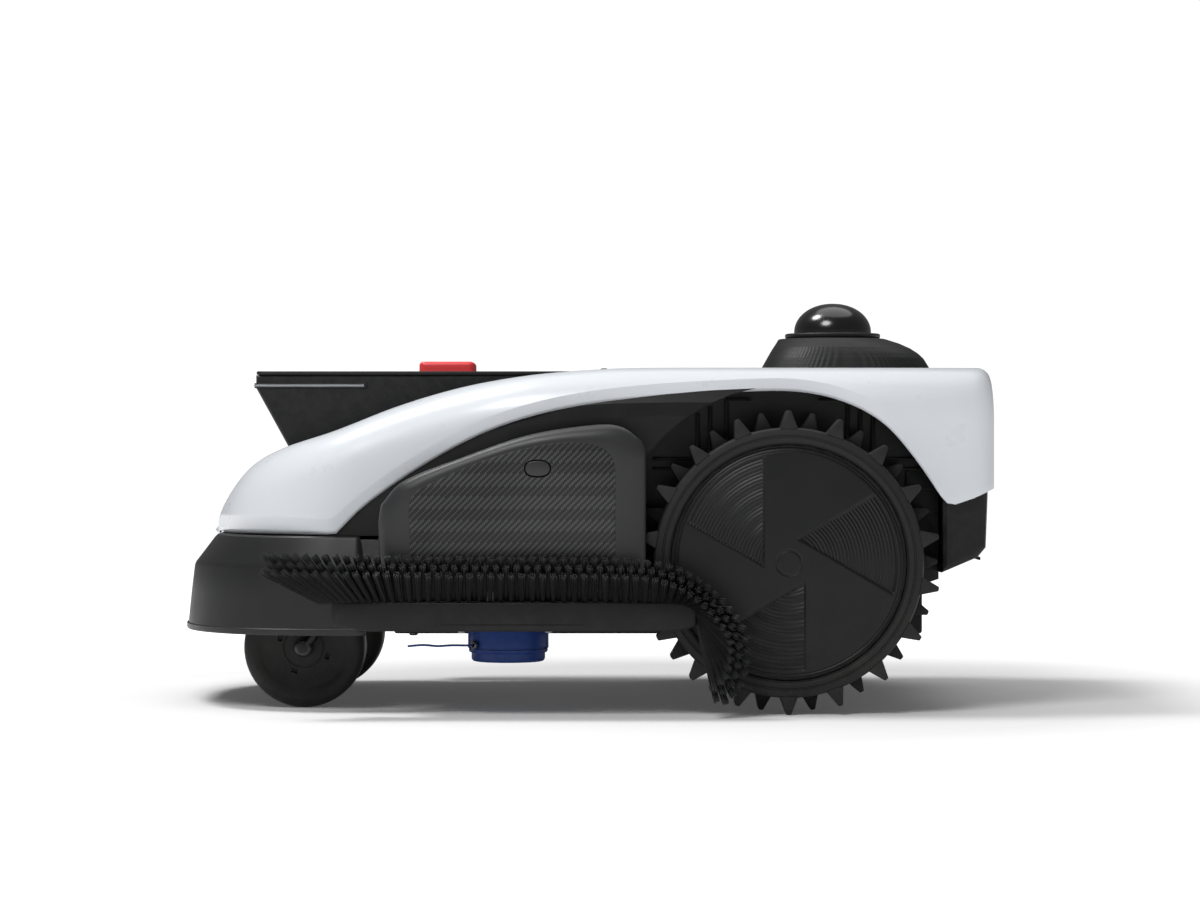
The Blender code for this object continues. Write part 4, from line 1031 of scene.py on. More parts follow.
ROWS = 3
TUFT_PITCH = 0.0080
ROW_RISE = 0.0064
BRISTLES = 17
TIP_SPREAD = 0.0028
ROOT_LINE = smooth_curve(
    [(-0.2160, 0.0885), (-0.1950, 0.0895), (-0.1400, 0.0895), (-0.0500, 0.0895), (0.0200, 0.0895),
     (0.0480, 0.0893), (0.0640, 0.0880), (0.0715, 0.0850), (0.0752, 0.0805), (0.0762, 0.0755),
     (0.0755, 0.0700)], 8)
TIP_LINE = smooth_curve(
    [(-0.2600, 0.1205), (-0.2150, 0.1195), (-0.1400, 0.1180), (-0.0500, 0.1175), (0.0200, 0.1165),
     (0.0520, 0.1120), (0.0760, 0.1000), (0.0960, 0.0800), (0.1080, 0.0580), (0.1040, 0.0300),
     (0.0880, 0.0115)], 8)


def even_steps(first, second, spacing, start):
    """Paired points of two lines at even steps along the second, with its direction there."""
    travelled, target = 0.0, start
    for i in range(len(second) - 1):
        step = (second[i + 1] - second[i]).length
        while target <= travelled + step:
            t = (target - travelled) / step
            yield (first[i].lerp(first[i + 1], t), second[i].lerp(second[i + 1], t),
                   (second[i + 1] - second[i]).normalized())
            target += spacing
        travelled += step


def bristle(bm, tips, root, tip, radius):
    """One five-sided filament; its outer end is marked for the pale cut tip."""
    turn = (tip - root).to_track_quat("Z", "Y").to_matrix().to_4x4()
    at = Matrix.Translation((root + tip) / 2) @ turn
    made = bmesh.ops.create_cone(bm, cap_ends=True, cap_tris=False, segments=5, radius1=radius * 0.8,
                                 radius2=radius, depth=(tip - root).length, matrix=at)
    near_tip = (tip - root).length * 0.5
    for v in made["verts"]:
        v[tips] = 1.0 if (v.co - tip).length < near_tip else 0.0


def side_brush():
    bm = bmesh.new()
    tips = bm.verts.layers.float.new("tip")
    for row in range(ROWS):
        level = 1 - row
        for root, tip, along in even_steps(ROOT_LINE, TIP_LINE, TUFT_PITCH, TUFT_PITCH * (row % 2) / 2):
            out = Vector((-along.y, along.x))
            tip = tip + out * ROW_RISE * level
            base = place(root.x, -0.2262 - 0.0028 * row, root.y)
            end = place(tip.x, -0.2450 - 0.0026 * row, tip.y)
            lean = (end - base).normalized()
            across = lean.cross(Vector((0, 1, 0))).normalized()
            up = across.cross(lean).normalized()
            for k in range(BRISTLES):
                turn = 2.39996 * k
                reach = math.sqrt((k + 0.3) / BRISTLES)
                side = (across * math.cos(turn) + up * math.sin(turn)) * reach
                stray = Vector((random.gauss(0, 1), random.gauss(0, 1), random.gauss(0, 1))) * 0.00025
                end_at = end + side * TIP_SPREAD + lean * random.uniform(-0.0012, 0.0006) + stray
                bristle(bm, tips, base + side * 0.0014, end_at, 0.00046)
    finish_piece("bristle_rows", bm, "bristle", "root", "bristle_nylon", ["side_brush"], 50.0,
                 recalc=False)


side_brush()


# ------------------------------------------------------------ brush guard

BAR_FRONT, BAR_REAR = -0.208, 0.074
BAR_THICKNESS = 0.0125
BAR_LOW, BAR_TOP = 0.0665, 0.0898


def bar_face(x):
    """How far out the guard's inner face stands at x."""
    middle = (BAR_FRONT + BAR_REAR) / 2
    return 0.2235 - 0.008 * ((x - middle) / (BAR_REAR - middle)) ** 2


def plan_solid(points, low, high, bevel=0.0, segments=3):
    """An outline in plan, raised from low to high with eased rims."""
    bm = bmesh.new()
    face = bm.faces.new([bm.verts.new((p[0], p[1], low)) for p in points])
    made = bmesh.ops.extrude_face_region(bm, geom=[face])
    moved = [item for item in made["geom"] if isinstance(item, bmesh.types.BMVert)]
    bmesh.ops.translate(bm, vec=(0, 0, high - low), verts=moved)
    bmesh.ops.recalc_face_normals(bm, faces=bm.faces)
    if bevel:
        rims = [e for e in bm.edges if abs(e.verts[0].co.z - e.verts[1].co.z) < 1e-6]
        bevel_edges(bm, rims, bevel, segments)
    return bm


def aimed(bm, at, direction):
    """Turns a shape made round +Z to face a direction, and moves it there."""
    turn = Vector(direction).to_track_quat("Z", "Y").to_matrix()
    bmesh.ops.rotate(bm, cent=(0, 0, 0), matrix=turn, verts=bm.verts)
    bmesh.ops.translate(bm, vec=Vector(at), verts=bm.verts)
    return bm


def screw_head(at, direction, radius=0.0030):
    """A pan-head screw with a hexagonal socket, standing on a face."""
    outer = turned([(0, 0), (radius, 0), (radius, radius * 0.35), (radius * 0.80, radius * 0.62),
                    (radius * 0.45, radius * 0.68), (0.0, radius * 0.68)], (0, 0, 0), steps=24)
    socket = bmesh.new()
    bmesh.ops.create_cone(socket, cap_ends=True, cap_tris=False, segments=6, radius1=radius * 0.42,
                          radius2=radius * 0.42, depth=radius,
                          matrix=Matrix.Translation((0, 0, radius * 0.78)))
    return aimed(carve(outer, socket), at, direction)


def brush_guard():
    steps = 40
    xs = [BAR_FRONT + (BAR_REAR - BAR_FRONT) * k / steps for k in range(steps + 1)]
    inner = [place(x, -bar_face(x), 0) for x in xs]
    outer = [place(x, -bar_face(x) - BAR_THICKNESS, 0) for x in xs]
    corner = [place(BAR_REAR + 0.0016, -bar_face(BAR_REAR) - BAR_THICKNESS * (0.86 - 0.14 * k), 0)
              for k in range(6)]
    bar = plan_solid(inner + corner[::-1] + outer[::-1], BAR_LOW, BAR_TOP, 0.0022, 4)
    for v in bar.verts:
        if v.co.z < BAR_LOW + 0.006:
            front = ease(-(v.co.x - DATUM_X), 0.178, 0.210)
            rear = ease(v.co.x - DATUM_X, 0.056, 0.078)
            v.co.z += 0.0042 * front + 0.0030 * rear
    slots = []
    for k in range(9):
        x = -0.150 + 0.024 * k
        y = -bar_face(x) - BAR_THICKNESS
        slots.append(block(place(x - 0.008, y - 0.004, BAR_TOP - 0.0011),
                           place(x + 0.008, y + 0.0030, BAR_TOP + 0.004)))
    groove = block(place(-0.195, -0.240, 0.0716), place(0.050, -0.2345, 0.0722))
    shaped = carve(bar, groove, *slots)
    finish_piece("guard_bar", shaped, "black", "root", BLACK, ["brush_holder"], 30.0)
    arm = block(place(-0.118, -0.2235, 0.0668), place(-0.028, -0.1428, 0.0716), 0.0012)
    ribs = [block(place(x - 0.0012, -0.2180, 0.0712), place(x + 0.0012, -0.1500, 0.0765), 0.0005)
            for x in (-0.112, -0.034)]
    finish_piece("guard_arm", merge(arm, *ribs), "black", "root", BLACK)
    screws = [screw_head(place(x, y, 0.0668), (0, 0, -1), 0.0034)
              for x in (-0.108, -0.040) for y in (-0.152, -0.212)]
    finish_piece("guard_screws", merge(*screws), "steel", "root", STEEL)
    tab = block(place(-0.2095, -0.2240, 0.0880), place(-0.2020, -0.2185, 0.0965), 0.0012)
    finish_piece("guard_tab", tab, "hump", "root", BLACK)


brush_guard()


# ------------------------------------------------------------ console

CONSOLE_FRONT_X = -0.2807
CONSOLE_SIDE = 0.0895
LIGHT_Z = 0.25955
LIGHT_REAR_X = -0.1925
SLOPE_TOP, SLOPE_FOOT = Vector((-0.2807, 0, 0.2576)), Vector((-0.2534, 0, 0.2081))


def rounded_plan(low, high, radius, steps=8):
    """A rectangle in plan with round corners."""
    points = []
    for cx, cy, first in ((high.x - radius, high.y - radius, 0.0), (low.x + radius, high.y - radius, 0.5),
                          (low.x + radius, low.y + radius, 1.0), (high.x - radius, low.y + radius, 1.5)):
        for k in range(steps + 1):
            turn = math.pi * (first + 0.5 * k / steps)
            points.append(Vector((cx + radius * math.cos(turn), cy + radius * math.sin(turn), 0)))
    return points


def plan_loop(low, high, radius, z, inset=0.0, steps=8):
    """The rounded rectangle at a height, pulled in evenly all round."""
    step_in = Vector((inset, inset, 0))
    tightest = max(radius - inset, 0.0003)
    return [p + Vector((0, 0, z)) for p in rounded_plan(low + step_in, high - step_in, tightest, steps)]


def console_lid():
    low, high = corners("console_lid")
    levels = ((low.z, 0.0010), (low.z + 0.0004, 0.0002), (low.z + 0.0010, 0.0), (high.z - 0.0009, 0.0),
              (high.z - 0.0003, 0.0003), (high.z, 0.0010), (high.z, 0.0060), (high.z - 0.0004, 0.0064),
              (high.z - 0.0004, 0.0072), (high.z, 0.0076), (high.z, 0.0120))
    lid = skin([plan_loop(low, high, 0.0045, z, inset) for z, inset in levels], cap=True)
    rooms = []
    for name, margin in (("stop_button", 0.0007), ("display_window", 0.0004)):
        a, b = corners(name)
        rooms.append(block((a.x - margin, a.y - margin, low.z - 0.002), (b.x + margin, b.y + margin, 0.29)))
    for name in ("key_start", "key_home"):
        a, b = corners(name)
        rooms.append(turned([(0, low.z - 0.002), ((b.x - a.x) / 2 + 0.0004, low.z - 0.002),
                             ((b.x - a.x) / 2 + 0.0004, 0.29), (0, 0.29)],
                            ((a.x + b.x) / 2, (a.y + b.y) / 2, 0), steps=48))
    finish_piece("lid_panel", carve(lid, *rooms), "console", "root", BLACK, ["console_lid"], 28.0)


def light_strip():
    """The slim lamp rod that runs round the console's front, in its dark channel."""
    side, front = CONSOLE_SIDE + 0.0009, CONSOLE_FRONT_X - 0.0011
    turn = 0.0030
    half = [Vector((LIGHT_REAR_X, side)), Vector((-0.2400, side)), Vector((front + 0.012, side))]
    half += [Vector((front + turn - turn * math.sin(a), side - turn + turn * math.cos(a)))
             for a in (math.pi / 2 * k / 8 for k in range(9))]
    half += [Vector((front, side * 0.6)), Vector((front, 0.0))]
    route = [place(p.x, -p.y, LIGHT_Z) for p in half] + [place(p.x, p.y, LIGHT_Z) for p in half[-2::-1]]
    bm = upright_tube(route, 0.0010, 16)
    finish_piece("lamp_rod", bm, "light", "root", "light_strip", ["light_bar"], 50.0)
    rims = []
    for z_shift in (-0.0015, 0.0015):
        rims.append(upright_tube([p + Vector((0, 0, z_shift)) for p in route], 0.00055, 10))
    for sign in (-1, 1):
        socket = turned([(0.0012, -0.0002), (0.0012, 0.0012), (0.0021, 0.0012), (0.0026, 0.0006),
                         (0.0026, -0.0002)], (0, 0, 0), steps=32, closed=True)
        rims.append(aimed(socket, place(LIGHT_REAR_X + 0.0004, sign * (CONSOLE_SIDE + 0.0001), LIGHT_Z),
                          (0, sign, 0)))
    finish_piece("lamp_channel", merge(*rims), "black", "root", BLACK, (), 50.0)


def upright_tube(points, radius, steps):
    """A tube along a level path, with its sections kept upright."""
    loops = []
    for i, point in enumerate(points):
        along = (points[min(i + 1, len(points) - 1)] - points[max(i - 1, 0)]).normalized()
        side = along.cross(Vector((0, 0, 1))).normalized()
        loops.append([point + radius * (math.cos(a) * side + math.sin(a) * Vector((0, 0, 1)))
                      for a in (math.tau * k / steps for k in range(steps))])
    return skin(loops, cap=True)


def stop_button():
    low, high = corners("stop_button")
    levels = [(low.z, 0.0006), (low.z + 0.0006, 0.0), (high.z - 0.0032, 0.0), (high.z - 0.0022, 0.00018),
              (high.z - 0.0012, 0.0007), (high.z - 0.0004, 0.0016), (high.z, 0.0029), (high.z, 0.0068),
              (high.z - 0.0005, 0.0074), (high.z - 0.0008, 0.0090)]
    bm = skin([plan_loop(low, high, 0.0050, z, inset, 10) for z, inset in levels], cap=True)
    finish_piece("stop_cap", bm, "red", "stop_button", "red_button", ["stop_button"], 24.0)
    lid_top = corners("console_lid")[1].z
    ring = []
    for z, out in ((lid_top - 0.0010, 0.0008), (lid_top + 0.0001, 0.0008), (lid_top + 0.0004, 0.0011),
                   (lid_top + 0.0004, 0.0022), (lid_top + 0.0001, 0.0030), (lid_top - 0.0010, 0.0030)):
        ring.append(plan_loop(low, high, 0.0050, z, -out, 10))
    collar = skin(ring + [ring[0]])
    finish_piece("stop_surround", collar, "black", "root", BLACK, (), 28.0)


def keys_and_display():
    for name in ("key_start", "key_home"):
        low, high = corners(name)
        r = (high.x - low.x) / 2
        centre = axis_of(name)
        key = turned([(0, low.z), (r, low.z), (r, high.z - 0.0010), (r - 0.0003, high.z - 0.0004),
                      (r - 0.0010, high.z), (r - 0.0022, high.z), (r - 0.0028, high.z - 0.0004),
                      (r - 0.0050, high.z - 0.0007), (0, high.z - 0.0008)], centre, steps=64)
        finish_piece(name + "_cap", key, "hump", name, "graphite_plastic", [name], 26.0)
        bead = turned([(r + 0.0006, 0), (r + 0.0014, 0.0006), (r + 0.0022, 0)],
                      (centre[0], centre[1], corners("console_lid")[1].z - 0.0001), steps=64, closed=True)
        finish_piece(name + "_bezel", bead, "black", "root", BLACK, (), 40.0)
    low, high = corners("display_window")
    levels = [(low.z, 0.0), (high.z - 0.0003, 0.0), (high.z, 0.0004), (high.z, 0.0050)]
    glass = skin([plan_loop(low, high, 0.0030, z, inset) for z, inset in levels], cap=True)
    finish_piece("display_glass", glass, "glass", "root", "dark_window", ["display_window"], 26.0)


def camera_window():
    """Dark window on the sloping front, with its lenses behind raised rings."""
    slope = (SLOPE_FOOT - SLOPE_TOP).normalized()
    outward = Vector((slope.z, 0, -slope.x))
    middle = (SLOPE_TOP + SLOPE_FOOT) / 2
    half, reach = 0.062, 0.0135
    low, high = Vector((-reach, -half, 0)), Vector((reach, half, 0))
    levels = [(-0.0004, 0.0), (0.0007, 0.0), (0.0011, 0.0005), (0.0011, 0.0035), (0.0007, 0.0040),
              (0.0007, 0.0085)]
    plate = skin([plan_loop(low, high, 0.009, z, inset) for z, inset in levels], cap=True)
    to_slope = Matrix((slope, Vector((0, 1, 0)), outward)).transposed()

    def on_slope(bm, along, across, lift):
        bmesh.ops.rotate(bm, cent=(0, 0, 0), matrix=to_slope, verts=bm.verts)
        at = place(middle.x, across, middle.z) + slope * along + outward * lift
        bmesh.ops.translate(bm, vec=at, verts=bm.verts)
        return bm

    finish_piece("front_window", on_slope(plate, 0, 0, 0.0002), "glass", "root", "dark_window",
                 ["camera_window"], 30.0)
    rings, glass = [], []
    for across, radius in ((-0.042, 0.0082), (0.042, 0.0082), (0.0, 0.0050)):
        rim = [(radius * 0.62, 0.0008), (radius * 0.70, 0.0014), (radius * 0.92, 0.0015),
               (radius, 0.0009), (radius, 0.0002), (radius * 0.62, 0.0002)]
        ring = turned(rim, (0, 0, 0), steps=48, closed=True)
        rings.append(on_slope(ring, 0, across, 0.0006))
        dome = [(0, 0.0002), (radius * 0.61, 0.0002), (radius * 0.61, 0.0006), (radius * 0.45, 0.0011),
                (radius * 0.25, 0.0014), (0, 0.0015)]
        lens = turned(dome, (0, 0, 0), steps=40)
        glass.append(on_slope(lens, 0, across, 0.0006))
    finish_piece("lens_rings", merge(*rings), "hump", "root", BLACK, (), 30.0)
    finish_piece("lens_glass", merge(*glass), "glass", "root", "dark_window", (), 40.0)


def rain_stud():
    low, high = corners("rain_sensor")
    r = (high.x - low.x) / 2
    stud = turned([(0, low.z), (r, low.z), (r, high.z - 0.0014), (r * 0.92, high.z - 0.0007),
                   (r * 0.7, high.z - 0.0002), (0, high.z)], axis_of("rain_sensor"), steps=40)
    finish_piece("rain_stud", stud, "dark_steel", "root", STEEL, ["rain_sensor"], 35.0)


console_lid()
light_strip()
stop_button()
keys_and_display()
camera_window()
rain_stud()


# ------------------------------------------------------------ lidar turret

LIDAR_X = 0.196
# Front, rear, half width, height and fullness of each level.
HUMP_LEVELS = ((0.1350, 0.2765, 0.0740, 0.2728, 3.6), (0.1372, 0.2745, 0.0728, 0.2770, 3.55),
               (0.1405, 0.2710, 0.0710, 0.2830, 3.4), (0.1430, 0.2665, 0.0686, 0.2876, 3.2),
               (0.1455, 0.2600, 0.0650, 0.2920, 3.0), (0.1482, 0.2512, 0.0592, 0.2962, 2.7),
               (0.1505, 0.2400, 0.0520, 0.3000, 2.4))
HUMP_POINTS = 480
HUMP_ROWS = 30
DOME_FOOT = 0.0012


def hump_level(height):
    for low, high in zip(HUMP_LEVELS, HUMP_LEVELS[1:]):
        if height <= high[3] + 1e-9:
            t = (height - low[3]) / (high[3] - low[3])
            return [a + (b - a) * t for a, b in zip(low, high)]
    return list(HUMP_LEVELS[-1])


def hump_loop(height, ribbed):
    """One level of the turret's base, with fine upright ribs pressed into it."""
    front, rear, half, z, fullness = hump_level(height)
    centre, reach = (front + rear) / 2, (rear - front) / 2
    loop = []
    for k in range(HUMP_POINTS):
        turn = math.tau * k / HUMP_POINTS
        c, s = math.cos(turn), math.sin(turn)
        groove = 0.0003 if ribbed and k % 4 in (2, 3) else 0.0
        loop.append(place(centre + (reach - groove) * math.copysign(abs(c) ** (2 / fullness), c),
                          (half - groove) * math.copysign(abs(s) ** (2 / fullness), s), z))
    return loop


def turret():
    low, high = HUMP_LEVELS[0][3], HUMP_LEVELS[-1][3]
    loops = [hump_loop(low, False)]
    for k in range(HUMP_ROWS + 1):
        height = low + (high - low) * k / HUMP_ROWS
        loops.append(hump_loop(max(height, low + 0.0006), 0 < k < HUMP_ROWS - 1 and k % 3 != 0))
    finish_piece("turret_base", skin(loops, cap=True), "hump", "root", "graphite_plastic",
                 ["lidar_hump"], 32.0)
    centre = place(LIDAR_X, 0, 0)
    collar = turned([(0.0345, 0.3004), (0.0372, 0.3004), (0.0396, 0.3012), (0.0400, 0.3020),
                     (0.0400, 0.3038), (0.0396, 0.3044), (0.0388, 0.3048), (0.0350, 0.3049),
                     (0.0345, 0.3045)],
                    centre, steps=128, closed=True)
    finish_piece("turret_collar", collar, "hump", "root", BLACK, ["lidar_collar"], 30.0)
    low, high = corners("lidar_dome")
    radius = (high.x - low.x) / 2
    base, top = low.z, high.z
    outer = []
    for k in range(33):
        turn = math.pi / 2 * k / 32
        height = base + DOME_FOOT + (top - base - DOME_FOOT) * math.sin(turn)
        outer.append((radius * math.cos(turn) ** 0.96, height))
    inner = [(r * 0.955, base + (z - base) * 0.955) for r, z in outer[::-1]]
    inner[0] = (0.0, inner[0][1])
    outer[-1] = (0.0, outer[-1][1])
    dome = turned([(radius * 0.955, base), (radius, base)] + outer + inner, centre, steps=144)
    finish_piece("dome_shell", dome, "glass", "root", "dark_window", ["lidar_dome"], 40.0)


turret()


# ------------------------------------------------------------ caster wheels

CASTER_TRAIL = 0.005
SLOT_RADIUS = 0.0202


def caster(side, sign):
    low, high = corners("caster_wheel_" + side)
    centre = (low + high) / 2
    r, half = (high.z - low.z) / 2, (high.y - low.y) / 2
    profile = [(0.0044, half - 0.0020), (0.0060, half - 0.0006), (0.0072, half - 0.0006),
               (0.0082, half - 0.0018), (0.0150, half - 0.0018), (0.0154, half - 0.0024),
               (0.0162, half - 0.0024), (0.0166, half - 0.0018),
               (0.0330, half - 0.0018), (0.0350, half - 0.0012), (0.0375, half - 0.0003), (0.0410, half),
               (r - 0.0070, half), (r - 0.0045, half - 0.0007), (r - 0.0022, half - 0.0022),
               (r - 0.0006, half - 0.0048), (r, half - 0.0085)]
    mirrored = [(radius, -y) for radius, y in profile[::-1]]
    floor = r - 0.0010
    tread = [(r, half - 0.0120), (floor, half - 0.0124), (floor, half - 0.0136), (r, half - 0.0140)]
    back_tread = [(radius, -y) for radius, y in tread[::-1]]
    wheel = turned(profile + tread + back_tread + mirrored, centre, "Y", 160, closed=True)
    slots = []
    for k in range(4):
        turn = math.radians(69 + 90 * k)
        slot = block((-0.0020, -0.0060, -0.0025), (0.0020, 0.0060, 0.0025), 0.0003, 2)
        outward = Vector((math.cos(turn), 0, math.sin(turn)))
        at = centre + SLOT_RADIUS * outward + Vector((0, sign * half, 0))
        slots.append(swung(slot, -turn, "Y", at))
    finish_piece("caster_tyre_" + side, carve(wheel, *slots), "caster", "caster_wheel_" + side,
                 "tyre_rubber", ["caster_wheel_" + side], 26.0)
    pivot_x = centre.x + CASTER_TRAIL
    out = centre.y + sign * (half + 0.0065)
    rod = smooth_curve(
        [(pivot_x, centre.y, 0.1335), (pivot_x, centre.y, 0.1160),
         (pivot_x, centre.y + sign * 0.0050, 0.1085),
         (pivot_x + 0.0030, out - sign * 0.0060, 0.1052), (pivot_x + 0.0055, out, 0.0985),
         (pivot_x + 0.0100, out, 0.0850), (pivot_x + 0.0040, out, 0.0600),
         (centre.x + 0.0010, out - sign * 0.0006, centre.z + 0.0015)], 8)
    bar = leaning_tube(rod, 0.0040, 20)
    stem = turned([(0, 0.1055), (0.0054, 0.1055), (0.0058, 0.1062), (0.0058, 0.1338),
                   (0.0052, 0.1345), (0, 0.1345)],
                  (pivot_x, centre.y, 0), steps=40)
    far = sign * (half + 0.0030)
    pin = [(0, far), (0.0056, far), (0.0064, far + sign * 0.0006), (0.0064, far + sign * 0.0058),
           (0.0056, far + sign * 0.0066), (0.0030, far + sign * 0.0070), (0, far + sign * 0.0070)]
    knob = turned(pin, centre, "Y", 48)
    axle = turned([(0, -sign * (half - 0.004)), (0.0040, -sign * (half - 0.004)), (0.0040, far), (0, far)],
                  centre, "Y", 32)
    finish_piece("caster_rod_" + side, merge(bar, stem, knob, axle), "coated_steel", "caster_fork_" + side,
                 STEEL, ["caster_fork_" + side], 35.0)


def leaning_tube(points, radius, steps):
    """A round bar along a path in space, its sections turned with it."""
    points = [Vector(p) for p in points]
    loops, across = [], Vector((1, 0, 0))
    for i, point in enumerate(points):
        along = (points[min(i + 1, len(points) - 1)] - points[max(i - 1, 0)]).normalized()
        across = (across - across.dot(along) * along).normalized()
        up = along.cross(across)
        loops.append([point + radius * (math.cos(a) * across + math.sin(a) * up)
                      for a in (math.tau * k / steps for k in range(steps))])
    return skin(loops, cap=True)


for side, sign in SIDES:
    caster(side, sign)


# ------------------------------------------------------------ edge trimmer

def trimmer():
    low, high = corners("trimmer_head")
    centre = axis_of("trimmer_head")
    r = (high.x - low.x) / 2
    base, top = low.z, high.z
    head = turned([(0, base), (r - 0.0030, base), (r - 0.0016, base + 0.0004), (r - 0.0008, base + 0.0014),
                   (r - 0.0008, base + 0.0030), (r - 0.0016, base + 0.0034), (r - 0.0016, base + 0.0042),
                   (r - 0.0008, base + 0.0046), (r - 0.0008, top - 0.0014), (r - 0.0012, top - 0.0006),
                   (r - 0.0020, top), (0, top)], centre, steps=128)
    ribs = []
    for k in range(8):
        turn = math.pi * (k // 4) + math.radians(-13.5 + 9.0 * (k % 4))
        rib = block((r - 0.0022, -0.0013, base + 0.0036), (r - 0.0001, 0.0013, top - 0.0012), 0.0004, 2)
        ribs.append(swung(rib, turn, "Z", centre))
    eyelet_turn = math.radians(218)
    out = Vector((math.cos(eyelet_turn), math.sin(eyelet_turn), 0))
    bore = turned([(0, -0.004), (0.0024, -0.004), (0.0024, 0.004), (0, 0.004)], (0, 0, 0), steps=32)
    bore = aimed(bore, centre + out * (r - 0.001) + Vector((0, 0, 0.0528)), out)
    finish_piece("trimmer_skirt", merge(carve(head, bore), *ribs), "blue", "trimmer_head", "blue_plastic",
                 ["trimmer_head"], 28.0)
    low, high = corners("trimmer_spool_cap")
    r = (high.x - low.x) / 2
    cap = turned([(0, low.z), (r * 0.42, low.z), (r * 0.46, low.z + 0.0012), (r * 0.62, low.z + 0.0012),
                  (r * 0.66, low.z), (r - 0.0030, low.z), (r - 0.0015, low.z + 0.0004),
                  (r - 0.0004, low.z + 0.0015), (r, low.z + 0.0030), (r, high.z - 0.0006),
                  (r - 0.0006, high.z), (0, high.z)], centre, steps=128)
    grips = []
    for k in range(12):
        turn = math.tau * k / 12
        grip = block((r - 0.0012, -0.0011, low.z - 0.001), (r + 0.002, 0.0011, low.z + 0.0020))
        grips.append(swung(grip, turn, "Z", centre))
    finish_piece("spool_cap", carve(cap, *grips), "blue", "trimmer_head", "blue_plastic",
                 ["trimmer_spool_cap"], 28.0)
    low, high = corners("line_eyelet")
    ring = turned([(0.0012, -0.0016), (0.0030, -0.0016), (0.0036, -0.0010), (0.0036, 0.0004),
                   (0.0030, 0.0012), (0.0020, 0.0012), (0.0012, 0.0004)], (0, 0, 0), steps=48, closed=True)
    ring = aimed(ring, (low + high) / 2, out)
    finish_piece("eyelet_ring", ring, "dark_steel", "trimmer_head", STEEL, ["line_eyelet"], 35.0)


trimmer()


# ------------------------------------------------------------ wheel wells, tail and underside

def wheel_well(side, sign):
    """Stiffening ribs and ledges on the wall behind a drive wheel."""
    wall, proud = MIDDLE_Y + sign * 0.1452, MIDDLE_Y + sign * 0.1494
    deep = MIDDLE_Y + sign * 0.1600
    parts = []

    def rib(x_low, x_high, z_low, z_high, face=proud):
        y_low, y_high = sorted((wall, face))
        parts.append(block((DATUM_X + x_low, y_low, z_low), (DATUM_X + x_high, y_high, z_high), 0.0008, 2))

    for x in (0.0780, 0.0880, 0.1010, 0.1980, 0.2080, 0.2180):
        height = 0.119 + math.sqrt(0.1372 ** 2 - (x - 0.1475) ** 2)
        rib(x - 0.0016, x + 0.0016, 0.150, height - 0.001)
    for z in (0.1920, 0.2000):
        rib(0.0420, 0.0760, z - 0.0012, z + 0.0012)
        rib(0.2200, 0.2560, z - 0.0012, z + 0.0012)
    for x, z in ((0.1100, 0.2478), (0.1850, 0.2478)):
        rib(x - 0.0100, x + 0.0100, z - 0.0015, z - 0.0003, deep)
    finish_piece("well_ribs_" + side, merge(*parts), "black", "root", BLACK, (), 30.0)


for side, sign in SIDES:
    wheel_well(side, sign)


def tail_pieces():
    """Brackets beside the rear cover, and louvres across its back."""
    brackets = []
    for sign in (-1, 1):
        near, far = MIDDLE_Y + sign * 0.1400, MIDDLE_Y + sign * 0.1485
        outline = to_world([(0.2440, 0.1050), (0.2560, 0.0990), (0.2705, 0.1040), (0.2705, 0.1900),
                            (0.2600, 0.1960), (0.2440, 0.1900)])
        brackets.append(outline_solid(outline, near, far, 0.0012, 2))
        for z in (0.118, 0.137, 0.156, 0.175):
            brackets.append(block((DATUM_X + 0.2490, far - 0.0010, z),
                                  (DATUM_X + 0.2690, far + 0.0010, z + 0.0022), 0.0004, 2))
    finish_piece("tail_brackets", merge(*brackets), "deep", "root", BLACK, (), 30.0)
    rear = corners("rear_cover")[1].x
    louvres = []
    for k in range(6):
        z = 0.1180 + 0.0058 * k
        for y in (-0.088, 0.088):
            low = Vector((rear - 0.0006, MIDDLE_Y + y - 0.028, z))
            louvres.append(block(low, low + Vector((0.0016, 0.056, 0.0026)), 0.0006, 2))
    finish_piece("rear_louvres", merge(*louvres), "black", "root", BLACK, (), 30.0)


tail_pieces()


def underside():
    """Screws under the chassis and the battery hatch, and the hatch's ribs."""
    floor = corners("chassis")[0].z
    spots = [(-0.150, -0.128), (-0.150, 0.128), (-0.060, 0.132), (0.060, -0.132), (0.060, 0.132),
             (0.245, -0.090), (0.245, 0.090), (0.140, -0.100), (0.140, 0.100), (-0.135, 0.0)]
    heads = [screw_head(place(x, y, floor + 0.0003), (0, 0, -1), 0.0036) for x, y in spots]
    finish_piece("chassis_screws", merge(*heads), "dark_steel", "root", STEEL, (), 30.0)
    low, high = corners("battery_cover")
    screws = [screw_head((x, y, low.z + 0.0002), (0, 0, -1), 0.0030)
              for x in (low.x + 0.007, high.x - 0.007) for y in (low.y + 0.007, high.y - 0.007)]
    finish_piece("battery_screws", merge(*screws), "steel", "root", STEEL, (), 30.0)
    ribs = []
    for k in range(9):
        x = low.x + 0.020 + 0.0088 * k
        ribs.append(block((x - 0.0012, low.y + 0.016, low.z - 0.0010),
                          (x + 0.0012, high.y - 0.016, low.z + 0.0004), 0.0005, 2))
    finish_piece("battery_cover_ribs", merge(*ribs), "hump", "root", "graphite_plastic", (), 30.0)


underside()


# ------------------------------------------------------------ CAD nodes that show as they are

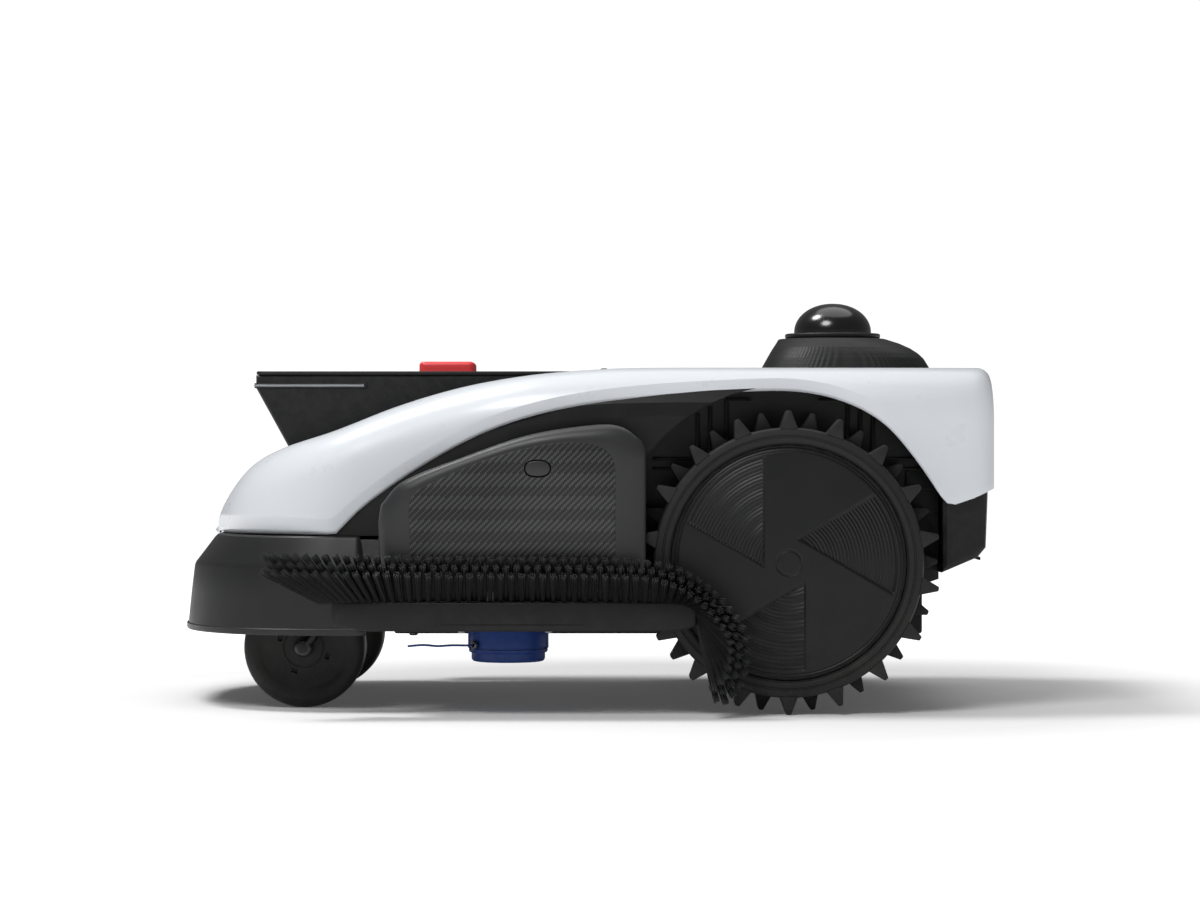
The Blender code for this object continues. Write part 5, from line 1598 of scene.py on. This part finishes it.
KEPT = {
    "deep": ("chassis", "cutting_deck", "battery_pack", "caster_bush_left", "caster_bush_right"),
    "console": ("main_housing", "console_housing"),
    "black": ("rear_cover", "wheel_rim_left", "wheel_rim_right"),
    "hump": ("battery_cover", "cutter_carriage", "lidar_rotor"),
    "dark_steel": ("blade_disc", "drive_motor_left", "drive_motor_right", "cutter_motor", "trimmer_motor",
                   "wheel_axle_left", "wheel_axle_right"),
    "steel": ("razor_blade_1", "razor_blade_2", "razor_blade_3"),
    "brass": ("charging_contact_left", "charging_contact_right"),
    "board": ("main_board",),
}


def dress_kept_nodes():
    for finish, names in KEPT.items():
        for name in names:
            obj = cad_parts[name]
            if not obj.material_slots:
                obj.data.materials.append(FINISH[finish])
            for slot in obj.material_slots:
                slot.material = FINISH[finish]


dress_kept_nodes()


# ------------------------------------------------------------ floor and light

def lamp(name, at, aim, energy, width, height):
    light = bpy.data.lights.new(name, "AREA")
    light.shape = "ELLIPSE"
    light.energy = energy
    light.size = width
    light.size_y = height
    obj = bpy.data.objects.new(name, light)
    bpy.context.scene.collection.objects.link(obj)
    obj.location = place(*at)
    obj.rotation_euler = (place(*aim) - obj.location).to_track_quat("-Z", "Y").to_euler()


def studio():
    bm = bmesh.new()
    bmesh.ops.create_grid(bm, x_segments=2, y_segments=2, size=12.0)
    mesh = bpy.data.meshes.new("floor")
    bm.to_mesh(mesh)
    bm.free()
    floor = bpy.data.objects.new("floor", mesh)
    bpy.context.scene.collection.objects.link(floor)
    material, tree, shader = start_material("pale_floor_painted_glow", Roughness=0.85, Emission_Strength=1.0)
    shader.inputs["Base Color"].default_value = (0.93, 0.93, 0.93, 1.0)
    shader.inputs["Specular IOR Level"].default_value = 0.1
    # The floor glows. Its emission is faint (0.06) within 0.45 m of its middle and rises to 0.9 by 1.1 m.
    # This is painted light: it lifts the floor's shadow round the machine and fades the far floor into the
    # white backdrop.
    away = node(tree, "ShaderNodeVectorMath", operation="LENGTH")
    wire(tree, object_coordinates(tree), away.inputs[0])
    far = spread(tree, away.outputs["Value"], 0.45, 1.10)
    painted_floor_light = blend_colour(tree, far, (0.06, 0.06, 0.06, 1.0), (0.9, 0.9, 0.9, 1.0))
    wire(tree, painted_floor_light, shader.inputs["Emission Color"])
    floor.data.materials.append(material)
    world = bpy.data.worlds.new("studio")
    world.use_nodes = True
    tree = world.node_tree
    room = tree.nodes["Background"]
    room.inputs["Color"].default_value = (1.0, 1.0, 1.0, 1.0)
    room.inputs["Strength"].default_value = 0.14
    backdrop = node(tree, "ShaderNodeBackground")
    backdrop.inputs["Color"].default_value = (1.0, 1.0, 1.0, 1.0)
    backdrop.inputs["Strength"].default_value = 1.05
    seen = node(tree, "ShaderNodeLightPath")
    mix = node(tree, "ShaderNodeMixShader")
    wire(tree, seen.outputs["Is Camera Ray"], mix.inputs[0])
    wire(tree, room.outputs[0], mix.inputs[1])
    wire(tree, backdrop.outputs[0], mix.inputs[2])
    wire(tree, mix.outputs[0], tree.nodes["World Output"].inputs["Surface"])
    bpy.context.scene.world = world
    lamp("front_key", (-0.50, -1.35, 1.60), (0.0, 0.0, 0.1), 16.5, 0.8, 0.8)
    lamp("nose_key", (-0.85, 0.05, 1.95), (0.0, 0.0, 0.1), 20.0, 0.6, 0.6)
    lamp("overhead", (0.3, 0.5, 2.6), (0.0, 0.0, 0.0), 20.0, 2.6, 2.6)
    bpy.context.scene.view_settings.view_transform = "Standard"


studio()
